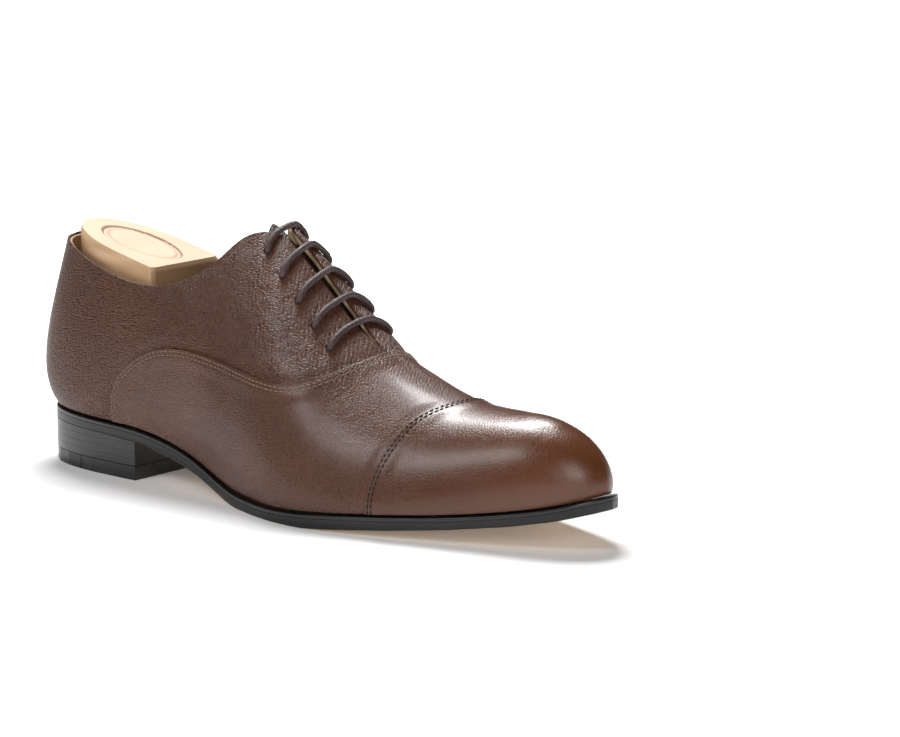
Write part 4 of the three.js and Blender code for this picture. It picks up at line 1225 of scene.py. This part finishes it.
def lace_cord(name):
    m = Shader(name)
    fibre = m.noise((0.45, 0.45, 0.45), 3.0, 0.65)
    wax = m.noise((3.5, 3.5, 3.5), 2.0, 0.5)
    colour = m.mix(fibre, srgb(42, 28, 30), srgb(92, 70, 70))
    m.set(Base_Color=colour, Normal=m.bump(fibre, 0.14), Roughness=m.span(wax, 0.3, 0.7, 0.62, 0.42))
    return m.set(Sheen_Weight=0.12, Sheen_Roughness=0.5)


def metal(name, colour, rough):
    m = Shader(name)
    brushed = m.noise((6, 0.3, 0.3), 3.0, 0.6)
    mixed = m.mix(brushed, tuple(c * 0.8 for c in colour), colour)
    roughness = m.span(brushed, 0.2, 0.8, rough - 0.06, rough + 0.08)
    return m.set(Base_Color=mixed, Normal=m.bump(brushed, 0.02), Roughness=roughness, Metallic=1.0)


def granular(name, dark, light, cell, rough, depth):
    m = Shader(name)
    grains = m.node("ShaderNodeTexVoronoi", {"Vector": m.scaled((cell,) * 3), "Scale": 1.0}).outputs["Distance"]
    roughness = m.span(grains, 0.0, 0.8, rough, rough - 0.1)
    return m.set(Base_Color=m.mix(grains, dark, light), Normal=m.bump(grains, depth), Roughness=roughness)


# -------------------------------------------------------------------- assembly
def stand_in(obj, node):
    """hides the CAD node whose place the visual piece takes; the piece is not used"""
    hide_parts(node)


def build_upper():
    dye = LEATHER_DARK, LEATHER_LIGHT
    quarter_calf = grained_leather("calf_quarter", (2.0, 1.0, 1.0), 0.3, *dye)
    vamp_calf = grained_leather("calf_vamp", (1.5, 0.95, 1.0), 0.16, *dye, fine_front=True)
    toe_calf = grained_leather("calf_toe", (1.4, 0.95, 1.0), 0.11, *dye, fine_front=True, rough=0.28)
    tongue_calf = grained_leather("calf_tongue", (1.2, 1.2, 1.0), 0.2, srgb(46, 30, 28), srgb(70, 48, 42))
    lining_calf = plain_leather("lining_leather", srgb(186, 156, 118), 0.7)
    stay_tape = plain_leather("stay_tape", srgb(176, 160, 132), 0.85)
    stand_in(vamp_piece(vamp_calf), "vamp")
    stand_in(cap_piece(toe_calf), "toe_cap")
    sides = (LATERAL, "lateral"), (MEDIAL, "medial")
    for side, word in sides:
        stand_in(quarter_piece(f"quarter_{word}_leather", side, quarter_calf), f"quarter_{word}")
    stand_in(strap_piece(quarter_calf), "back_strap")
    stand_in(tongue_piece(tongue_calf), "tongue")
    split = find_along(LATERAL, 8, 1)
    grip = lining_piece("heel_grip_lining", (LATERAL, MEDIAL), 0, split, lining_calf)
    stand_in(grip, "heel_grip")
    for side, word in sides:
        name = f"quarter_lining_{word}"
        lining = lining_piece(f"{name}_leather", (side,), split + 0.002, SLIT_S - 0.03, lining_calf)
        stand_in(lining, name)
    for side, word in sides:
        name = f"facing_stay_{word}"
        stand_in(stay_piece(f"{name}_tape", side, stay_tape), name)
    stand_in(lace_piece(lace_cord("lace_cord")), "shoelace")


def build_stitching():
    tone = thread("thread_brown", srgb(150, 124, 108))
    dark = thread("thread_dark", srgb(30, 22, 22))
    pale = thread("thread_pale", srgb(168, 148, 130))
    coarse = 1.6
    span = even(find_along(LATERAL, 13, 0), 1, S_STEP * coarse)
    seams = ("wing", wing, tone, 0.24), ("cap", cap, dark, 0.3)
    for i, row in enumerate(SEAM_ROWS):
        for name, seam, material, radius in seams:
            points, normals = field_path(span, both_sides(Q_STEP * coarse), seam.signed, row)
            lifted = points + normals * (LAP - 0.02)
            stitch_row(f"stitch_{name}_{i + 1}", lifted, normals, material, radius)
    for i, past_slit in enumerate((0.006, 0.0135)):
        points, normals = surface(np.full(60, SLIT_S + past_slit), np.linspace(-0.1, 0.22, 60))
        lifted = points + normals * LAP
        bar = stitch_row(f"stitch_throat_{i + 1}", lifted, normals, pale, 0.22, pitch=1.7, length=1.3)


def build_bottom():
    black = black_edge("black_edge")
    sole = outsole_finish("outsole_leather")
    strip = feather_less(0.55), feather_less(2.2), black
    joint = sum(find_along(side, 44.2, 0) for side in (LATERAL, MEDIAL)) / 2
    stand_in(ring_object("welt_strip", joint, 1, *strip, False), "welt")
    stand_in(ring_object("heel_rand_strip", 0, joint - 0.0004, *strip, True), "heel_rand")
    outsole = plate_object("outsole_plate", (1, 1), feather_less(2.26), tread_z, sole, chamfer=(0.1, 0.3))
    stand_in(outsole, "outsole")
    stops = [find_along(side, HEEL_BREAST_X, 0) for side in (LATERAL, MEDIAL)]
    layers = [(f"heel_lift_{i}", level(HEEL_FLOOR_Z + i * LIFT - 0.03)) for i in (1, 2, 3)]
    layers.append(("heel_wedge", lambda x: tread_z(x) - 0.03))
    for i, (node, top_of) in enumerate(layers):
        floor = level(HEEL_FLOOR_Z + i * LIFT)
        layer = plate_object(f"{node}_leather", stops, top_of, floor, black, rows=90, chamfer=(0.02, 0.02),
                             flat_end=True)
        stand_in(layer, node)


def finish_cad_nodes():
    """materials for the CAD nodes that stay in view"""
    looks = {
        "lining": plain_leather("lining_inside", srgb(186, 156, 118), 0.75),
        "board": plain_leather("stiffener_board", srgb(156, 143, 120), 0.9),
        "insole": plain_leather("insole_leather", srgb(190, 160, 120), 0.75),
        "brass": metal("eyelet_brass", srgb(120, 92, 60), 0.4),
        "nail": metal("nail_brass", srgb(200, 165, 96), 0.3),
        "steel": metal("spring_steel", srgb(190, 192, 196), 0.3),
        "aglet": plain_leather("aglet_plastic", srgb(34, 26, 26), 0.4),
        "cork": granular("ground_cork", srgb(110, 76, 46), srgb(176, 132, 88), 1.6, 0.95, 0.12),
        "rubber": granular("tip_rubber", srgb(10, 10, 11), srgb(24, 24, 26), 0.9, 0.42, 0.03),
        "edge": black_edge("top_piece_edge"),
        "wood": wood("forepart_wood"),
    }
    patterns = [
        ("vamp_lining", "lining"), ("sock_liner", "lining"), ("toe_puff", "board"), ("heel_counter", "board"),
        ("insole", "insole"), ("eyelet", "brass"), ("heel_nail", "nail"), ("shank", "steel"),
        ("aglet", "aglet"), ("cork_filler", "cork"), ("heel_tip", "rubber"), ("top_piece", "edge"),
        ("tree_forepart", "wood"), ("tree_", "steel"),
    ]
    for name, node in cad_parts.items():
        if node.hide_render:
            continue
        look = next(look for start, look in patterns if name.startswith(start))
        node.data.materials.clear()
        node.data.materials.append(looks[look])


def build_stage():
    reach = 9.0
    corners = [(-reach, -reach, 0), (reach, -reach, 0), (reach, reach, 0), (-reach, reach, 0)]
    mesh = bpy.data.meshes.new("floor")
    mesh.from_pydata(corners, [], [(0, 1, 2, 3)])
    plane = bpy.data.objects.new("floor", mesh)
    bpy.context.scene.collection.objects.link(plane)
    m = Shader("floor_paper")
    grain = m.noise((30, 30, 30), 2.0, 0.5)
    apart = m.node("ShaderNodeVectorMath", {0: m.place, 1: (0.12, 0.0, 0.0)}, operation="DISTANCE")
    m.set(Base_Color=m.mix(grain, (0.9, 0.9, 0.9), (0.92, 0.92, 0.92)), Roughness=0.9)
    # painted light: the floor glows, weakly near the shoe and near white further out
    glow = m.span(apart.outputs["Value"], 0.2, 0.75, 0.1, 0.95)
    m.set(Emission_Color=(1.0, 1.0, 1.0), Emission_Strength=glow)
    plane.data.materials.append(m.material)


def aim(obj, place, target):
    bpy.context.scene.collection.objects.link(obj)
    obj.location = place
    obj.rotation_euler = (Vector(target) - Vector(place)).to_track_quat("-Z", "Y").to_euler()


def area_light(name, place, target, size, power):
    data = bpy.data.lights.new(name, "AREA")
    data.shape = "RECTANGLE"
    data.size, data.size_y = size
    data.energy = power
    aim(bpy.data.objects.new(name, data), place, target)


def build_light():
    world = bpy.data.worlds.new("studio")
    bpy.context.scene.world = world
    world.use_nodes = True
    background = world.node_tree.nodes["Background"]
    background.inputs["Color"].default_value = (1, 1, 1, 1)
    background.inputs["Strength"].default_value = 0.06
    area_light("top_soft", (-0.24, 0.34, 0.96), (0.18, 0, 0.05), (0.44, 0.28), 14)
    area_light("side_soft", (-0.10, -0.90, 0.84), (0.15, 0, 0.05), (0.36, 0.36), 4)
    area_light("front_soft", (1.15, -0.75, 0.55), (0.12, 0, 0.05), (0.6, 0.6), 5)
    bpy.context.scene.view_settings.view_transform = "Standard"


def build_camera():
    data = bpy.data.cameras.new("camera")
    data.lens = 144.6
    data.sensor_width = 36
    data.clip_end = 50
    camera = bpy.data.objects.new("camera", data)
    aim(camera, (1.1147, -1.1207, 0.3540), (0.1410, 0.0529, 0.0500))
    bpy.context.scene.camera = camera


build_camera()
build_light()
build_stage()
build_upper()
build_stitching()
build_bottom()
stand_in(heel_block_piece(wood("block_wood", stamped=True)), "tree_heel_block")
finish_cad_nodes()

bpy.context.view_layer.update()
